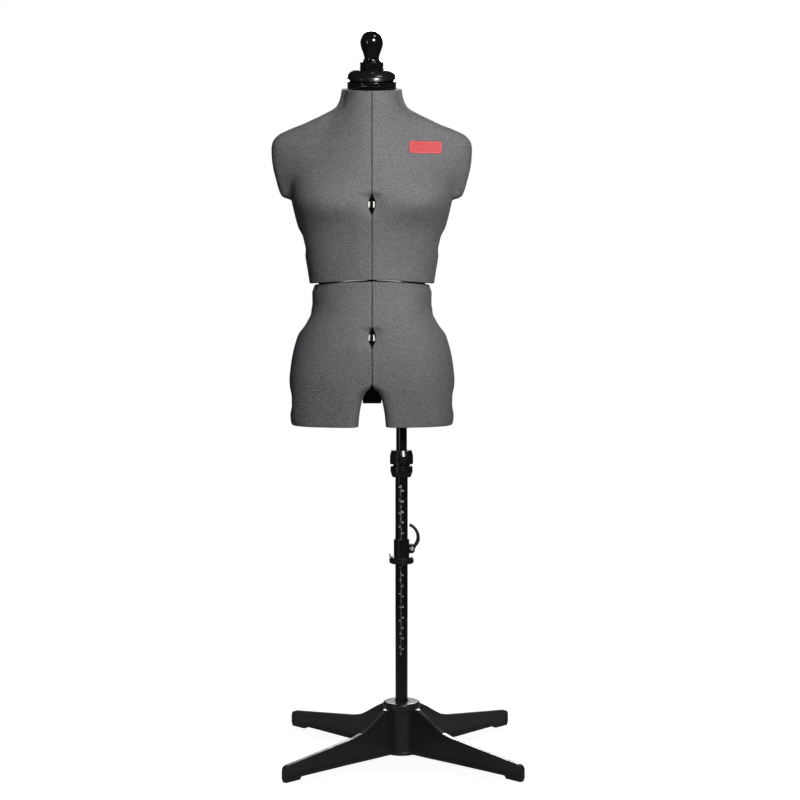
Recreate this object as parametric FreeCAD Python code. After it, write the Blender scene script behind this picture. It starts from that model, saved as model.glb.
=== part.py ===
"""Adjustable trouser dress form on an offset telescopic stand.

+Z up. The origin is on the floor under the pole, the form faces -Y, and left and right are as
seen from the front (-X and +X). The body stands beside the pole: its own upright axis is at
X = BODY_X. Each body section is four padded shells that spread apart on screws. The dimensions
below are the medium size's, in millimetres; every solid is graded down by GRADE for the small size.
"""
import FreeCAD
import Part
import math
import os

V = FreeCAD.Vector
Z_AXIS = V(0, 0, 1)

# ---- size ----
GRADE = 0.92

# ---- base and stand ----
LEG_REACH = 330.0
LEG_THICK = 11.0
LEG_RIM = 7.0
LEG_RECESS = 2.0
HUB_CAP_R = 38.0
HUB_CAP_BOTTOM = 93.0
HUB_TOP = 107.0
HUB_CORE_R = 31.0
HUB_FLANGE_R = 34.0
HUB_FLANGE_H = 7.5
TUBE_R = 12.7
TUBE_BORE_R = 11.08
TUBE_BOTTOM = 12.0
TUBE_TOP = 592.0
INNER_R = 11.0
INNER_WALL = 1.5
INNER_BOTTOM = 60.0
RUNNING = 0.06
COLLAR_BOTTOM = 570.7
COLLAR_TOP = 625.5
COLLAR_SPLIT = 597.4
NUT_FLUTES = 16

# ---- hem marker ----
HEM_BOTTOM = 406.3
HEM_TOP = 442.5
HEM_R = 15.9
HEM_RING_R = 25.5
HEM_RING_BOTTOM = 393.0
LEVER_X = 21.3
LEVER_Z = 424.0
LEVER_GAP = 4.3
EAR_THICK = 3.7

# ---- body ----
BODY_X = -60.0
WALL = 5.0
SEAM = 0.3
WINDOW_HALF_W = 7.2
WINDOW_HALF_H = 23.0
POCKET_HALF_W = 38.0
POCKET_HALF_H = 25.0
POCKET_DEPTH = 5.0
DIMPLE_HALF_W = 32.0
DIMPLE_DEPTH = 6.5
DIMPLE_PEAK = 11.0
DIMPLE_TOP = 14.0
DIMPLE_TAIL = 46.0
WAIST_TOP = 964.5
WAIST_ARCH = 8.0
ARCH_FADE = 60.0
LOWER_TOP = 962.5
HEM = 678.5
LEG_AXIS = 85.0
THIGH_SLOT = 34.0
CROTCH = 758.0
NECK_EDGE = 1355.0
NECK_EDGE_TILT = 7.5
NECK_ROOT = 1312.0
CROWN_TILT = 14.0
CROWN_Z = 1378.5
EDGE_BLEND = 22.0
UPPER_ROW = 7.0
LOWER_ROW = 6.0
COLUMNS = 28

# ---- adjusters ----
DIAL_R = 19.5
DIAL_THICK = 3.4
DIAL_PROUD = 1.0
NUT_CLEAR = 0.4
NUT_BACK = 7.0
NUT_HALF_H = 6.0
EAR_R = 5.5
YOKE_GAP = 5.5
YOKE_BAR = 6.0
DIAL_NOTCHES = 24
SCREW_R = 4.0
SCREW_HALF = 43.0
EAR_NEAR = 38.0
EAR_FAR = 42.0
NUT_NEAR = 2.4
NUT_FAR = 18.0
ARM_W = 14.0
ARM_H = 8.0
ARM_ROOT = 13.0
GUIDE_REACH = 42.0
GUIDE_R = 20.0
SLOT_GAP = 0.3
COLUMN_R = 12.0
UPPER_COLUMN_R = 10.1

# ---- spine ----
BRACKET_LOW = 722.0
BRACKET_TOP = 762.0
BRACKET_HALF_W = 19.0
BRACKET_HALF_D = 17.0
BRACKET_ARM_LOW = 743.0
SOCKET_R = 18.0
SCREW_LEVEL = 752.0
LOWER_COLUMN_TOP = 961.0
UPPER_COLUMN_LOW = 850.0
UPPER_COLUMN_TOP = 1356.0
PLATE_HALF_W = 108.5
PLATE_FRONT = 82.5
PLATE_BACK = 78.5
PLATE_LOW = 957.5
PLATE_TOP = 968.0
PLATE_WALL = 3.0
PLATE_POINTS = 48
PLATE_BOSS_R = 18.0

# ---- neck, measured along its leaning axis from the cap flange's upper face ----
FLANGE_R = 51.2
FLANGE_H = 2.0
DOME_R = 48.5
DOME_H = 16.8
DOME_TURN_R = 43.8
DOME_TURN_H = 9.9
DOME_CROWN_R = 28.5
DISH_R = 27.0
DISH_DEPTH = 4.5
SPIGOT_R = 45.3
SPIGOT_H = 12.0
BAND_R = 49.0
BAND_WALL = 3.4
BAND_LOW = -32.0
BAND_TOP_SIDE = -7.4
BAND_TOP_MIDDLE = -4.3
KNOB_STUD_R = 5.0
KNOB_BLOCK = 23.2
KNOB_BLOCK_TOP = 32.4
KNOB_WAIST_R = 15.0
KNOB_BALL_R = 22.8
KNOB_BALL_CENTRE = 69.8

# ---- heights of the adjusters ----
BUST_DIAL_Z = 1121.0
RIB_DIAL_Z = 1049.0
HIP_DIAL_Z = 858.0
SIDE_HIP_DIAL_Z = 888.0
THIGH_DIAL_Z = 728.0


# ---------------------------------------------------------------- curves and blends
def smooth_curve(points):
    """Monotone cubic through (position, value) points: no overshoot between them."""
    xs = [p[0] for p in points]
    ys = [p[1] for p in points]
    count = len(xs)
    slope = [(ys[i + 1] - ys[i]) / (xs[i + 1] - xs[i]) for i in range(count - 1)]
    tangent = [slope[0]] + [0.0] * (count - 2) + [slope[-1]]
    for i in range(1, count - 1):
        if slope[i - 1] * slope[i] > 0:
            left = xs[i] - xs[i - 1]
            right = xs[i + 1] - xs[i]
            w1 = 2 * right + left
            w2 = right + 2 * left
            tangent[i] = (w1 + w2) / (w1 / slope[i - 1] + w2 / slope[i])

    def value(x):
        if x <= xs[0]:
            return ys[0]
        if x >= xs[-1]:
            return ys[-1]
        i = 0
        while x > xs[i + 1]:
            i += 1
        h = xs[i + 1] - xs[i]
        t = (x - xs[i]) / h
        a = ys[i] * (1 + 2 * t) * (1 - t) ** 2
        b = ys[i + 1] * t * t * (3 - 2 * t)
        c = tangent[i] * h * t * (1 - t) ** 2
        d = tangent[i + 1] * h * t * t * (t - 1)
        return a + b + c + d

    return value


def smooth_max(a, b, reach):
    """The larger of a and b, rounded where they are within reach of each other."""
    near = max(reach - abs(a - b), 0.0) / reach
    return max(a, b) + near * near * reach * 0.25


def hump(x, half):
    """1 at x = 0, falling smoothly to 0 at x = +-half."""
    return math.cos(0.5 * math.pi * x / half) ** 2 if abs(x) < half else 0.0


# Half width, front depth, back depth and squareness of the upper body by height.
UP_WIDTH = smooth_curve([(960, 125.3), (980, 128.4), (996, 130.8), (1012, 133.6), (1028, 135.6),
                         (1044, 139.4), (1060, 143), (1077, 148.6), (1113, 158), (1140, 163), (1180, 164),
                         (1215, 160), (1245, 148), (1268, 132), (1290, 110.5), (1303, 87.5), (1313, 71.2),
                         (1323, 62.6), (1333, 58.4), (1345, 55.8), (1360, 54.6)])
UP_FRONT = smooth_curve([(960, 93), (1000, 94), (1040, 98), (1080, 107), (1121, 116), (1150, 112),
                         (1200, 97), (1240, 84), (1270, 73), (1300, 61), (1320, 54), (1340, 48.5),
                         (1360, 46.2)])
UP_BACK = smooth_curve([(960, 88), (1000, 91), (1040, 97), (1100, 105), (1160, 112), (1200, 112),
                        (1240, 104), (1270, 92), (1300, 78), (1320, 68), (1340, 61), (1360, 56.5)])
UP_SQUARE = smooth_curve([(960, 2.3), (1060, 2.4), (1120, 2.6), (1180, 2.5), (1260, 2.2), (1300, 2.0),
                          (1360, 2.0)])
# Half reach and half thickness of the arm stubs by height.
STUB_REACH = smooth_curve([(1100, 80), (1122, 112), (1131, 151), (1139, 180), (1153, 187.4), (1173, 193),
                           (1193, 198), (1213, 201), (1233, 202), (1245, 200.5), (1254, 196), (1263, 187),
                           (1273, 167), (1283, 142), (1293, 115), (1303, 88), (1320, 53), (1360, 40)])
STUB_DEPTH = smooth_curve([(1120, 30), (1145, 42), (1195, 53), (1235, 53), (1262, 48), (1285, 48),
                           (1303, 47), (1360, 40)])
# The same for the lower body, and half the gap between the thighs.
LOW_WIDTH = smooth_curve([(672, 159), (682, 164.2), (694, 166), (740, 166.5), (772, 167.6), (787, 166.3),
                          (807, 163.7), (827, 160), (848, 154.2), (868, 147), (888, 135.2), (909, 124.3),
                          (924, 120.7), (947, 121), (954, 118.6), (963, 115.8)])
LOW_FRONT = smooth_curve([(672, 92), (720, 96), (770, 102), (820, 104), (870, 102), (910, 96), (945, 91),
                          (963, 90)])
LOW_BACK = smooth_curve([(672, 96), (720, 106), (770, 118), (810, 121), (850, 114), (890, 100), (925, 90),
                         (963, 86)])
LOW_SQUARE = smooth_curve([(672, 2.7), (760, 2.6), (850, 2.4), (963, 2.3)])
THIGH_GAP = smooth_curve([(672, 28), (695, 26), (711, 24), (732, 19.5), (746, 14), (754, 7), (758, 0),
                          (766, -16), (776, -45)])

# Share of an even spacing that the columns keep at the side seam, where the arm stub turns fast.
SIDE_CROWDING = 0.35
BUST_ANGLE = 47.0
BUST_Z = 1133.0
BUST_RISE = 14.0
STUB_BLEND = 13.0
STUB_FAIRING = 110.0
ARMPIT_Z = 1150.0
SHOULDER_ANGLE = 18.0
SHOULDER_SOFTENING = 32.0
SEAT_ANGLE = 50.0
SEAT_Z = 800.0
SEAT_RISE = 8.0


def pocket(along, z, centres):
    """Depth of the pressed hollows round the adjuster windows, at a distance along from the seam."""
    depth = 0.0
    for centre in centres:
        rise = hump(z - centre, POCKET_HALF_H * 1.25)
        depth += POCKET_DEPTH * min(1.0, 1.3 * rise) * hump(along, POCKET_HALF_W * 1.2)
    return depth


def dimple(along, z, centres):
    """Depth of the hollows on the centre seams: steep above the wheel, running out below it."""
    depth = 0.0
    for centre in centres:
        above = z - centre - DIMPLE_PEAK
        rise = hump(above, DIMPLE_TOP if above > 0 else DIMPLE_TAIL)
        depth += DIMPLE_DEPTH * rise * hump(along, DIMPLE_HALF_W)
    return depth


def notch(z, centres):
    """Half width of the seam gap, which opens into a lens-shaped window at each adjuster."""
    gap = SEAM
    for centre in centres:
        gap += (WINDOW_HALF_W - SEAM) * hump(z - centre, WINDOW_HALF_H) ** 0.75
    return gap


def oval(angle, width, depth, power):
    """Polar radius of a superellipse."""
    across = abs(math.cos(angle)) / width
    along = abs(math.sin(angle)) / depth
    return (across ** power + along ** power) ** (-1.0 / power)


UPPER_CENTRE = [BUST_DIAL_Z]
UPPER_SIDE = [RIB_DIAL_Z]
LOWER_CENTRE = [HIP_DIAL_Z]
LOWER_SIDE = [SIDE_HIP_DIAL_Z, THIGH_DIAL_Z]


def upper_radius(angle, z, front, inset):
    """Radius of the upper body from its axis: a torso oval rounded into the arm-stub oval."""
    depth = UP_FRONT(z) if front else UP_BACK(z)
    torso = oval(angle, UP_WIDTH(z), depth, UP_SQUARE(z))
    stub = oval(angle, STUB_REACH(z), STUB_DEPTH(z), 3.2)
    softer = SHOULDER_SOFTENING * hump(math.degrees(angle) - SHOULDER_ANGLE, SHOULDER_ANGLE)
    softer *= min(max((z - ARMPIT_Z) / ARCH_FADE, 0.0), 1.0)
    radius = smooth_max(torso, stub, STUB_BLEND + STUB_FAIRING * math.sin(angle) ** 2 + softer)
    if front:
        swell = hump(math.degrees(angle) - BUST_ANGLE, 40.0) * hump(z - BUST_Z, 68.0)
        radius += BUST_RISE * swell
    across = radius * math.cos(angle)
    along = radius * math.sin(angle)
    radius -= dimple(across, z, UPPER_CENTRE) * math.sin(angle) ** 2
    radius -= pocket(along, z, UPPER_SIDE) * math.cos(angle) ** 2
    return radius - inset


def upper_slope(angle, z, front):
    """How much wider the wall is when measured level instead of square to the surface."""
    change = (upper_radius(angle, z + 2, front, 0) - upper_radius(angle, z - 2, front, 0)) / 4.0
    return math.sqrt(1.0 + min(change * change, 6.0))


def upper_point(part, z, front, inset):
    """A point of one upper quarter, x and y positive: part 0 is the side seam, 1 the centre seam."""
    side_gap = notch(z, UPPER_SIDE)
    centre_gap = notch(z, UPPER_CENTRE)
    start = 0.0
    finish = 0.5 * math.pi
    for _ in range(6):
        wall = inset * upper_slope(start, z, front)
        start = math.asin(side_gap / upper_radius(start, z, front, wall))
        wall = inset * upper_slope(finish, z, front)
        finish = math.acos(centre_gap / upper_radius(finish, z, front, wall))
    spread = part * (SIDE_CROWDING + (1.0 - SIDE_CROWDING) * part)
    angle = start + (finish - start) * spread
    radius = upper_radius(angle, z, front, inset * upper_slope(angle, z, front))
    x = radius * math.cos(angle)
    y = radius * math.sin(angle)
    tilt = math.tan(math.radians(NECK_EDGE_TILT))
    raised = min(max((z - NECK_ROOT) / (NECK_EDGE - NECK_ROOT), 0.0), 1.0) ** 1.5
    lifted = (-y if front else y) * tilt * raised
    arched = WAIST_ARCH * math.sin(angle) ** 2 * max(0.0, 1.0 - (z - WAIST_TOP) / ARCH_FADE)
    return x, y, z + lifted + arched


def lower_level(x, y, z, front, inset):
    """Zero on the surface of a trouser quarter, negative inside it."""
    depth = LOW_FRONT(z) if front else LOW_BACK(z)
    if not front:
        lean = math.degrees(math.atan2(y, max(x, 1e-6)))
        depth += SEAT_RISE * hump(lean - SEAT_ANGLE, 45.0) * hump(z - SEAT_Z, 95.0)
    inset += dimple(x, z, LOWER_CENTRE) if y > 50 else 0.0
    inset += pocket(y, z, LOWER_SIDE) if x > 70 else 0.0
    width = LOW_WIDTH(z) - inset
    depth -= inset
    power = LOW_SQUARE(z)
    outer = ((abs(x) / width) ** power + (abs(y) / depth) ** power) ** (1.0 / power) - 1.0
    return smooth_max(outer * min(width, depth), THIGH_GAP(z) + inset - x, EDGE_BLEND)


def bisect(test, low, high):
    """Where test changes from negative to positive."""
    for _ in range(36):
        middle = 0.5 * (low + high)
        if test(middle) < 0:
            low = middle
        else:
            high = middle
    return 0.5 * (low + high)


def lower_point(part, z, front, inset):
    """A point of one lower quarter, x and y positive, on a ray from the leg's axis."""
    side_gap = notch(z, LOWER_SIDE)
    x_side = bisect(lambda x: lower_level(x, side_gap, z, front, inset), LEG_AXIS, 230.0)
    start = math.atan2(side_gap, x_side - LEG_AXIS)
    centre_gap = notch(z, LOWER_CENTRE)
    if z >= CROTCH:
        x_end = smooth_max(centre_gap, THIGH_GAP(z) + inset + 1.0, 14.0)
        y_end = bisect(lambda y: lower_level(x_end, y, z, front, inset), 10.0, 200.0)
    else:
        reach = LOW_FRONT(z) if front else LOW_BACK(z)
        drop = min(1.0, (CROTCH - z) / 26.0)
        y_end = reach * 0.9 + (THIGH_SLOT - reach * 0.9) * drop
        x_end = LEG_AXIS - bisect(lambda s: lower_level(LEG_AXIS - s, y_end, z, front, inset), 0.0, 90.0)
    finish = math.atan2(y_end, x_end - LEG_AXIS)
    angle = start + (finish - start) * part
    cos_a = math.cos(angle)
    sin_a = math.sin(angle)
    radius = bisect(lambda r: lower_level(LEG_AXIS + r * cos_a, r * sin_a, z, front, inset), 1.0, 210.0)
    x = LEG_AXIS + radius * cos_a
    y = radius * sin_a
    arched = WAIST_ARCH * y * y / (x * x + y * y) * max(0.0, 1.0 - (LOWER_TOP - z) / ARCH_FADE)
    return x, y, z + arched


def heights(low, high, step):
    """Evenly spaced row heights."""
    count = round((high - low) / step)
    return [low + (high - low) * i / count for i in range(count + 1)]


def shell_solid(point, rows, columns, x_sign, front):
    """A curved wall between an outer and an inner surface, closed along its four edges."""
    y_sign = -1.0 if front else 1.0

    def face_of(inset):
        grid = []
        for z in rows:
            row = []
            for i in range(columns + 1):
                x, y, height = point(i / columns, z, front, inset)
                row.append(V(BODY_X + x_sign * x, y_sign * y, height))
            grid.append(row)
        surface = Part.BSplineSurface()
        surface.interpolate(grid)
        return surface.toShape(), surface

    outer_face, outer = face_of(0.0)
    inner_face, inner = face_of(WALL)
    faces = [outer_face, inner_face]
    u0, u1, v0, v1 = outer.bounds()
    s0, s1, t0, t1 = inner.bounds()
    pairs = [(outer.uIso(u0), inner.uIso(s0)), (outer.uIso(u1), inner.uIso(s1)),
             (outer.vIso(v0), inner.vIso(t0)), (outer.vIso(v1), inner.vIso(t1))]
    for one, other in pairs:
        faces.append(Part.makeRuledSurface(one.toShape(), other.toShape(), 1))
    shell = Part.makeShell(faces)
    shell.sewShape()
    solid = Part.makeSolid(shell)
    if solid.Volume < 0:
        solid.reverse()
    return solid


# ---------------------------------------------------------------- plain solids
def cylinder(radius, low, high, x=0.0, y=0.0):
    return Part.makeCylinder(radius, high - low, V(x, y, low))


def ring(outer, inner, low, high, x=0.0, y=0.0):
    return cylinder(outer, low, high, x, y).cut(cylinder(inner, low - 1, high + 1, x, y))


def cross_rod(radius, centre, half):
    """A round bar along Y through a point."""
    return Part.makeCylinder(radius, 2 * half, V(centre[0], centre[1] - half, centre[2]), V(0, 1, 0))


def block(x0, x1, y0, y1, z0, z1):
    return Part.makeBox(x1 - x0, y1 - y0, z1 - z0, V(x0, y0, z0))


def turned(profile, x=0.0, y=0.0):
    """A solid of revolution about an upright axis from (radius, height) corners."""
    points = [V(r, 0, z) for r, z in profile]
    wire = Part.makePolygon(points + points[:1])
    solid = Part.Face(wire).revolve(V(0, 0, 0), Z_AXIS, 360)
    solid.translate(V(x, y, 0))
    return solid


def plate_xz(points, y0, y1):
    """A flat plate from (x, z) corners, as thick as y0 to y1."""
    corners = [V(x, y0, z) for x, z in points]
    face = Part.Face(Part.makePolygon(corners + corners[:1]))
    return face.extrude(V(0, y1 - y0, 0))


def placed(shape, angle, x=BODY_X):
    """A copy turned about the upright axis and moved to the body's axis."""
    out = shape.copy()
    out.rotate(V(0, 0, 0), Z_AXIS, angle)
    out.translate(V(x, 0, 0))
    return out


# ---------------------------------------------------------------- base
def base_hub():
    """Top cap, core and bottom flange, bored for the pole; the four leg roots stand on its core."""
    rounding = 5.0
    cap = cylinder(HUB_CAP_R, HUB_CAP_BOTTOM, HUB_TOP)
    top_edge = [e for e in cap.Edges if e.BoundBox.ZMin > HUB_TOP - 0.1 and e.Length > 10]
    cap = cap.makeFillet(rounding, top_edge)
    core = cylinder(HUB_CORE_R, 0.0, HUB_CAP_BOTTOM + 1)
    flange = cylinder(HUB_FLANGE_R, 0.0, HUB_FLANGE_H)
    flange = flange.makeFillet(3.0, [e for e in flange.Edges if e.BoundBox.ZMin > 1.0])
    hub = cap.fuse([core, flange])
    hub = hub.cut(cylinder(TUBE_R + 0.05, TUBE_BOTTOM, HUB_TOP + 1))
    mouth = Part.makeCone(TUBE_R + 0.05, TUBE_R + 2.5, 3.0, V(0, 0, HUB_TOP - 3.0))
    return hub.cut(mouth)


def leg():
    """One moulded leg along +X: a web with a raised rim on both faces and a flat foot at the tip."""
    root = HUB_CORE_R + 0.1
    top = [(root, 92.6), (38.3, 92.6), (38.6, 97.2), (50.0, 95.4)]
    knee = [(72.0, 84.5), (98.0, 69.5), (118.0, 59.5), (142.0, 54.0), (180.0, 49.5)]
    tip = [(240.0, 42.5), (300.0, 35.6), (320.0, 33.4), (326.5, 31.0), (329.6, 25.5), (LEG_REACH, 8.0)]
    foot = [(326.8, 0.0), (288.5, 0.0), (284.5, 4.8), (160.0, 3.2), (66.0, 1.4),
            (HUB_FLANGE_R + 0.3, 1.0), (HUB_FLANGE_R + 0.3, HUB_FLANGE_H + 0.3), (root, HUB_FLANGE_H + 0.3)]
    outline = top + knee + tip + foot
    half = LEG_THICK / 2
    web = plate_xz(outline, -half, half)
    corners = [V(x, 0, z) for x, z in outline]
    face = Part.Face(Part.makePolygon(corners + corners[:1]))
    inside = face.makeOffset2D(-LEG_RIM)
    for side in (-1, 1):
        pocket_face = inside.copy()
        pocket_face.translate(V(0, side * (half - LEG_RECESS), 0))
        web = web.cut(pocket_face.extrude(V(0, side * (LEG_RECESS + 1), 0)))
    soft = [e for e in web.Edges if abs(abs(e.CenterOfMass.y) - half) < 0.01 and e.BoundBox.YLength < 0.1]
    return web.makeChamfer(1.2, [e for e in soft if on_outline(e, outline)])


def on_outline(edge, outline):
    """Whether an edge of the leg lies on its outer outline and clear of the hub."""
    middle = edge.CenterOfMass
    if middle.x < 55.0 or middle.z < 1.0:
        return False
    for (x0, z0), (x1, z1) in zip(outline, outline[1:]):
        if abs(middle.x - 0.5 * (x0 + x1)) < 0.6 and abs(middle.z - 0.5 * (z0 + z1)) < 0.6:
            return True
    return False


# ---------------------------------------------------------------- pole and height collar
def outer_tube():
    return ring(TUBE_R, TUBE_BORE_R, TUBE_BOTTOM + 0.1, TUBE_TOP)


def inner_tube():
    return ring(INNER_R, INNER_R - INNER_WALL, INNER_BOTTOM, BRACKET_TOP - 5.0)


def collar_body():
    """Sleeve glued on the pole's top, with a groove and a threaded spigot under the nut."""
    body = turned([(TUBE_R + 0.02, COLLAR_BOTTOM), (18.9, COLLAR_BOTTOM), (22.6, 581.2), (22.6, 592.2),
                   (17.0, 592.2), (17.0, COLLAR_SPLIT - 0.3), (16.0, COLLAR_SPLIT - 0.3), (16.0, 614.0),
                   (TUBE_R + 0.02, 614.0)])
    return body


def collar_collet():
    """Split tapered bush that the nut squeezes on the inner tube."""
    bush = ring(TUBE_R - 0.02, INNER_R + RUNNING, TUBE_TOP + 0.4, 613.5)
    return bush.cut(block(0, 20, -1.0, 1.0, TUBE_TOP, 615.0))


def collar_nut():
    """Twist nut with grip ribs round its upper cone."""
    nut = turned([(16.06, COLLAR_SPLIT), (23.6, COLLAR_SPLIT), (23.6, 614.2), (20.7, COLLAR_TOP),
                  (INNER_R + 0.5, COLLAR_TOP), (INNER_R + 0.5, 616.0), (16.06, 616.0)])
    flutes = []
    for i in range(NUT_FLUTES):
        angle = 2 * math.pi * i / NUT_FLUTES
        groove = cylinder(2.0, COLLAR_SPLIT + 4.0, COLLAR_TOP + 1, 25.0 * math.cos(angle),
                          25.0 * math.sin(angle))
        flutes.append(groove)
    return nut.cut(Part.makeCompound(flutes))


# ---------------------------------------------------------------- hem marker
def hem_slider():
    """Sleeve on the pole with a neck for the ring and two ears for the lever."""
    sleeve = cylinder(HEM_R, HEM_BOTTOM, HEM_TOP).fuse(cylinder(14.8, HEM_RING_BOTTOM - 0.8, HEM_BOTTOM))
    for side in (-1, 1):
        middle = side * (LEVER_GAP + EAR_THICK / 2)
        ear = plate_xz([(10, 414), (LEVER_X + 2, 414), (LEVER_X + 6, 419), (LEVER_X + 6, 428),
                        (LEVER_X + 2, 432), (10, 432)], middle - EAR_THICK / 2, middle + EAR_THICK / 2)
        sleeve = sleeve.fuse(ear)
    sleeve = sleeve.cut(cylinder(TUBE_R + RUNNING, HEM_RING_BOTTOM - 5, HEM_TOP + 1))
    return sleeve.cut(cross_rod(2.55, (LEVER_X, 0, LEVER_Z), 12))


def hem_lever():
    """Crescent lever that hooks up and back towards the pole, in the upright plane of its pivot."""
    outer = [V(LEVER_X + 9.0, 0, 428.0), V(37.6, 0, 446.0), V(31.5, 0, 463.0), V(17.4, 0, 474.6)]
    inner = [V(15.4, 0, 469.2), V(25.2, 0, 462.3), V(30.4, 0, 448.5), V(LEVER_X + 0.5, 0, LEVER_Z + 4.6)]
    outside = Part.BSplineCurve()
    outside.interpolate(outer)
    inside = Part.BSplineCurve()
    inside.interpolate(inner)
    wire = Part.Wire([outside.toShape(), Part.makeLine(outer[-1], inner[0]), inside.toShape(),
                      Part.makeLine(inner[-1], outer[0])])
    blade = Part.Face(wire).extrude(V(0, 8, 0))
    blade.translate(V(0, -4, 0))
    boss = cross_rod(4.9, (LEVER_X, 0, LEVER_Z), 4.0)
    web = plate_xz([(LEVER_X, LEVER_Z - 4.9), (LEVER_X + 7, LEVER_Z), (LEVER_X + 9.2, 428.6),
                    (LEVER_X, LEVER_Z + 4.9)], -4, 4)
    return blade.fuse([boss, web]).cut(cross_rod(2.56, (LEVER_X, 0, LEVER_Z), 6))


def hem_lever_pin():
    """Shouldered rivet with a domed silver head in front."""
    shank = cross_rod(2.5, (LEVER_X, 0, LEVER_Z), 8.4)
    heads = []
    for side in (-1, 1):
        head = Part.makeCylinder(4.3, 1.8, V(LEVER_X, side * 8.15, LEVER_Z), V(0, side, 0))
        heads.append(head)
    return shank.fuse(heads)


def hem_ring():
    """Swivel ring under the slider, with two grooves round its edge."""
    low = HEM_RING_BOTTOM
    r = HEM_RING_R
    edge = [(r - 2.5, low), (r - 0.5, low + 2), (r - 0.5, low + 4), (r - 2.2, low + 4.4),
            (r - 2.2, low + 5.4), (r, low + 5.8), (r, low + 9), (r - 3, low + 9.6), (r - 3, low + 10.4),
            (r - 1.5, low + 10.8), (r - 3.0, low + 12.8)]
    return turned([(14.9, low)] + edge + [(14.9, low + 12.8)])


def hem_clip():
    """Chalk clip standing on the ring's left side."""
    foot = block(-25.0, -17.5, -4.0, 4.0, HEM_RING_BOTTOM + 12.9, HEM_RING_BOTTOM + 14.6)
    jaw = block(-25.0, -22.6, -4.0, 4.0, HEM_RING_BOTTOM + 12.9, HEM_RING_BOTTOM + 20.0)
    return foot.fuse(jaw)


# ---------------------------------------------------------------- spine
def offset_bracket():
    """Cast arm that carries the body's column beside the pole."""
    side = BRACKET_HALF_W
    depth = BRACKET_HALF_D
    boss = block(BODY_X - side, BODY_X + side, -depth, depth, BRACKET_LOW, BRACKET_TOP + 18.0)
    upright = [e for e in boss.Edges if e.BoundBox.ZLength > 10.0]
    boss = boss.makeFillet(5.0, upright)
    arm = block(BODY_X, 0, -14.0, 14.0, BRACKET_ARM_LOW, BRACKET_TOP)
    socket = cylinder(SOCKET_R, BRACKET_LOW + 4.0, BRACKET_TOP)
    body = boss.fuse([arm, socket])
    body = body.cut(cylinder(COLUMN_R + 0.02, BRACKET_LOW + 6.0, BRACKET_TOP + 20.0, BODY_X))
    body = body.cut(cylinder(INNER_R + 0.02, BRACKET_LOW, BRACKET_TOP - 4.9))
    return body.cut(bracket_screws(0.02))


def bracket_screws(clearance=0.0):
    """Two clamp screws from behind, one into each socket."""
    screws = []
    for x, outside, tube in ((BODY_X, BRACKET_HALF_D, COLUMN_R), (0.0, SOCKET_R, INNER_R)):
        head_face = outside + 1.5
        tip = tube + 0.6
        shank = Part.makeCylinder(2.5 + clearance, head_face - tip, V(x, tip, SCREW_LEVEL), V(0, 1, 0))
        head = Part.makeCylinder(4.5 + clearance, 3.0, V(x, head_face - 1.5, SCREW_LEVEL), V(0, 1, 0))
        screws.append(shank.fuse(head))
    return Part.makeCompound(screws)


def lower_column():
    return ring(COLUMN_R, UPPER_COLUMN_R + RUNNING, BRACKET_LOW + 6.2, LOWER_COLUMN_TOP, BODY_X)


def waist_plate():
    """Shallow oval tray on the column's top that closes the lower section inside its waist edge."""
    outlines = []
    for wall in (0.0, PLATE_WALL):
        points = []
        for i in range(PLATE_POINTS):
            angle = 2 * math.pi * i / PLATE_POINTS
            depth = PLATE_FRONT if angle > math.pi else PLATE_BACK
            radius = oval(angle, PLATE_HALF_W - wall, depth - wall, LOW_SQUARE(LOWER_TOP))
            points.append(V(BODY_X + radius * math.cos(angle), radius * math.sin(angle), PLATE_LOW))
        curve = Part.BSplineCurve()
        curve.interpolate(points, PeriodicFlag=True)
        outlines.append(Part.Face(Part.Wire(curve.toShape())))
    tray = outlines[0].extrude(V(0, 0, PLATE_TOP - PLATE_LOW))
    tray = tray.cut(outlines[1].extrude(V(0, 0, PLATE_TOP - PLATE_LOW - PLATE_WALL)))
    tray = tray.fuse(cylinder(PLATE_BOSS_R, PLATE_LOW - 6.0, PLATE_TOP, BODY_X))
    tray = tray.cut(cylinder(COLUMN_R + 0.02, PLATE_LOW - 7.0, LOWER_COLUMN_TOP + 0.2, BODY_X))
    return tray.cut(cylinder(UPPER_COLUMN_R + RUNNING, PLATE_LOW, PLATE_TOP + 1, BODY_X))


def upper_column():
    return ring(UPPER_COLUMN_R, 8.0, UPPER_COLUMN_LOW, UPPER_COLUMN_TOP, BODY_X)


def guide_cross(x_level, y_level, bore):
    """Sleeves along X and Y, at their own heights, joined by a boss round the column."""
    low = min(x_level, y_level) - ARM_H - 2
    high = max(x_level, y_level) + ARM_H + 2
    half_w = ARM_W / 2 + 4.0
    half_h = ARM_H / 2 + 4.0
    slot_w = ARM_W / 2 + SLOT_GAP
    slot_h = ARM_H / 2 + SLOT_GAP
    reach = GUIDE_REACH
    if abs(x_level - y_level) < 50:
        boss = cylinder(GUIDE_R, low, high)
    else:
        bosses = [cylinder(GUIDE_R, level - ARM_H - 2, level + ARM_H + 2) for level in (x_level, y_level)]
        boss = Part.makeCompound(bosses)
    x_sleeve = block(-reach, reach, -half_w, half_w, x_level - half_h, x_level + half_h)
    y_sleeve = block(-half_w, half_w, -reach, reach, y_level - half_h, y_level + half_h)
    x_slot = block(-reach - 1, reach + 1, -slot_w, slot_w, x_level - slot_h, x_level + slot_h)
    y_slot = block(-slot_w, slot_w, -reach - 1, reach + 1, y_level - slot_h, y_level + slot_h)
    body = boss.fuse([x_sleeve, y_sleeve])
    body = body.cut(Part.makeCompound([x_slot, y_slot, cylinder(bore, low - 1, high + 1)]))
    return placed(body, 0)


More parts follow.
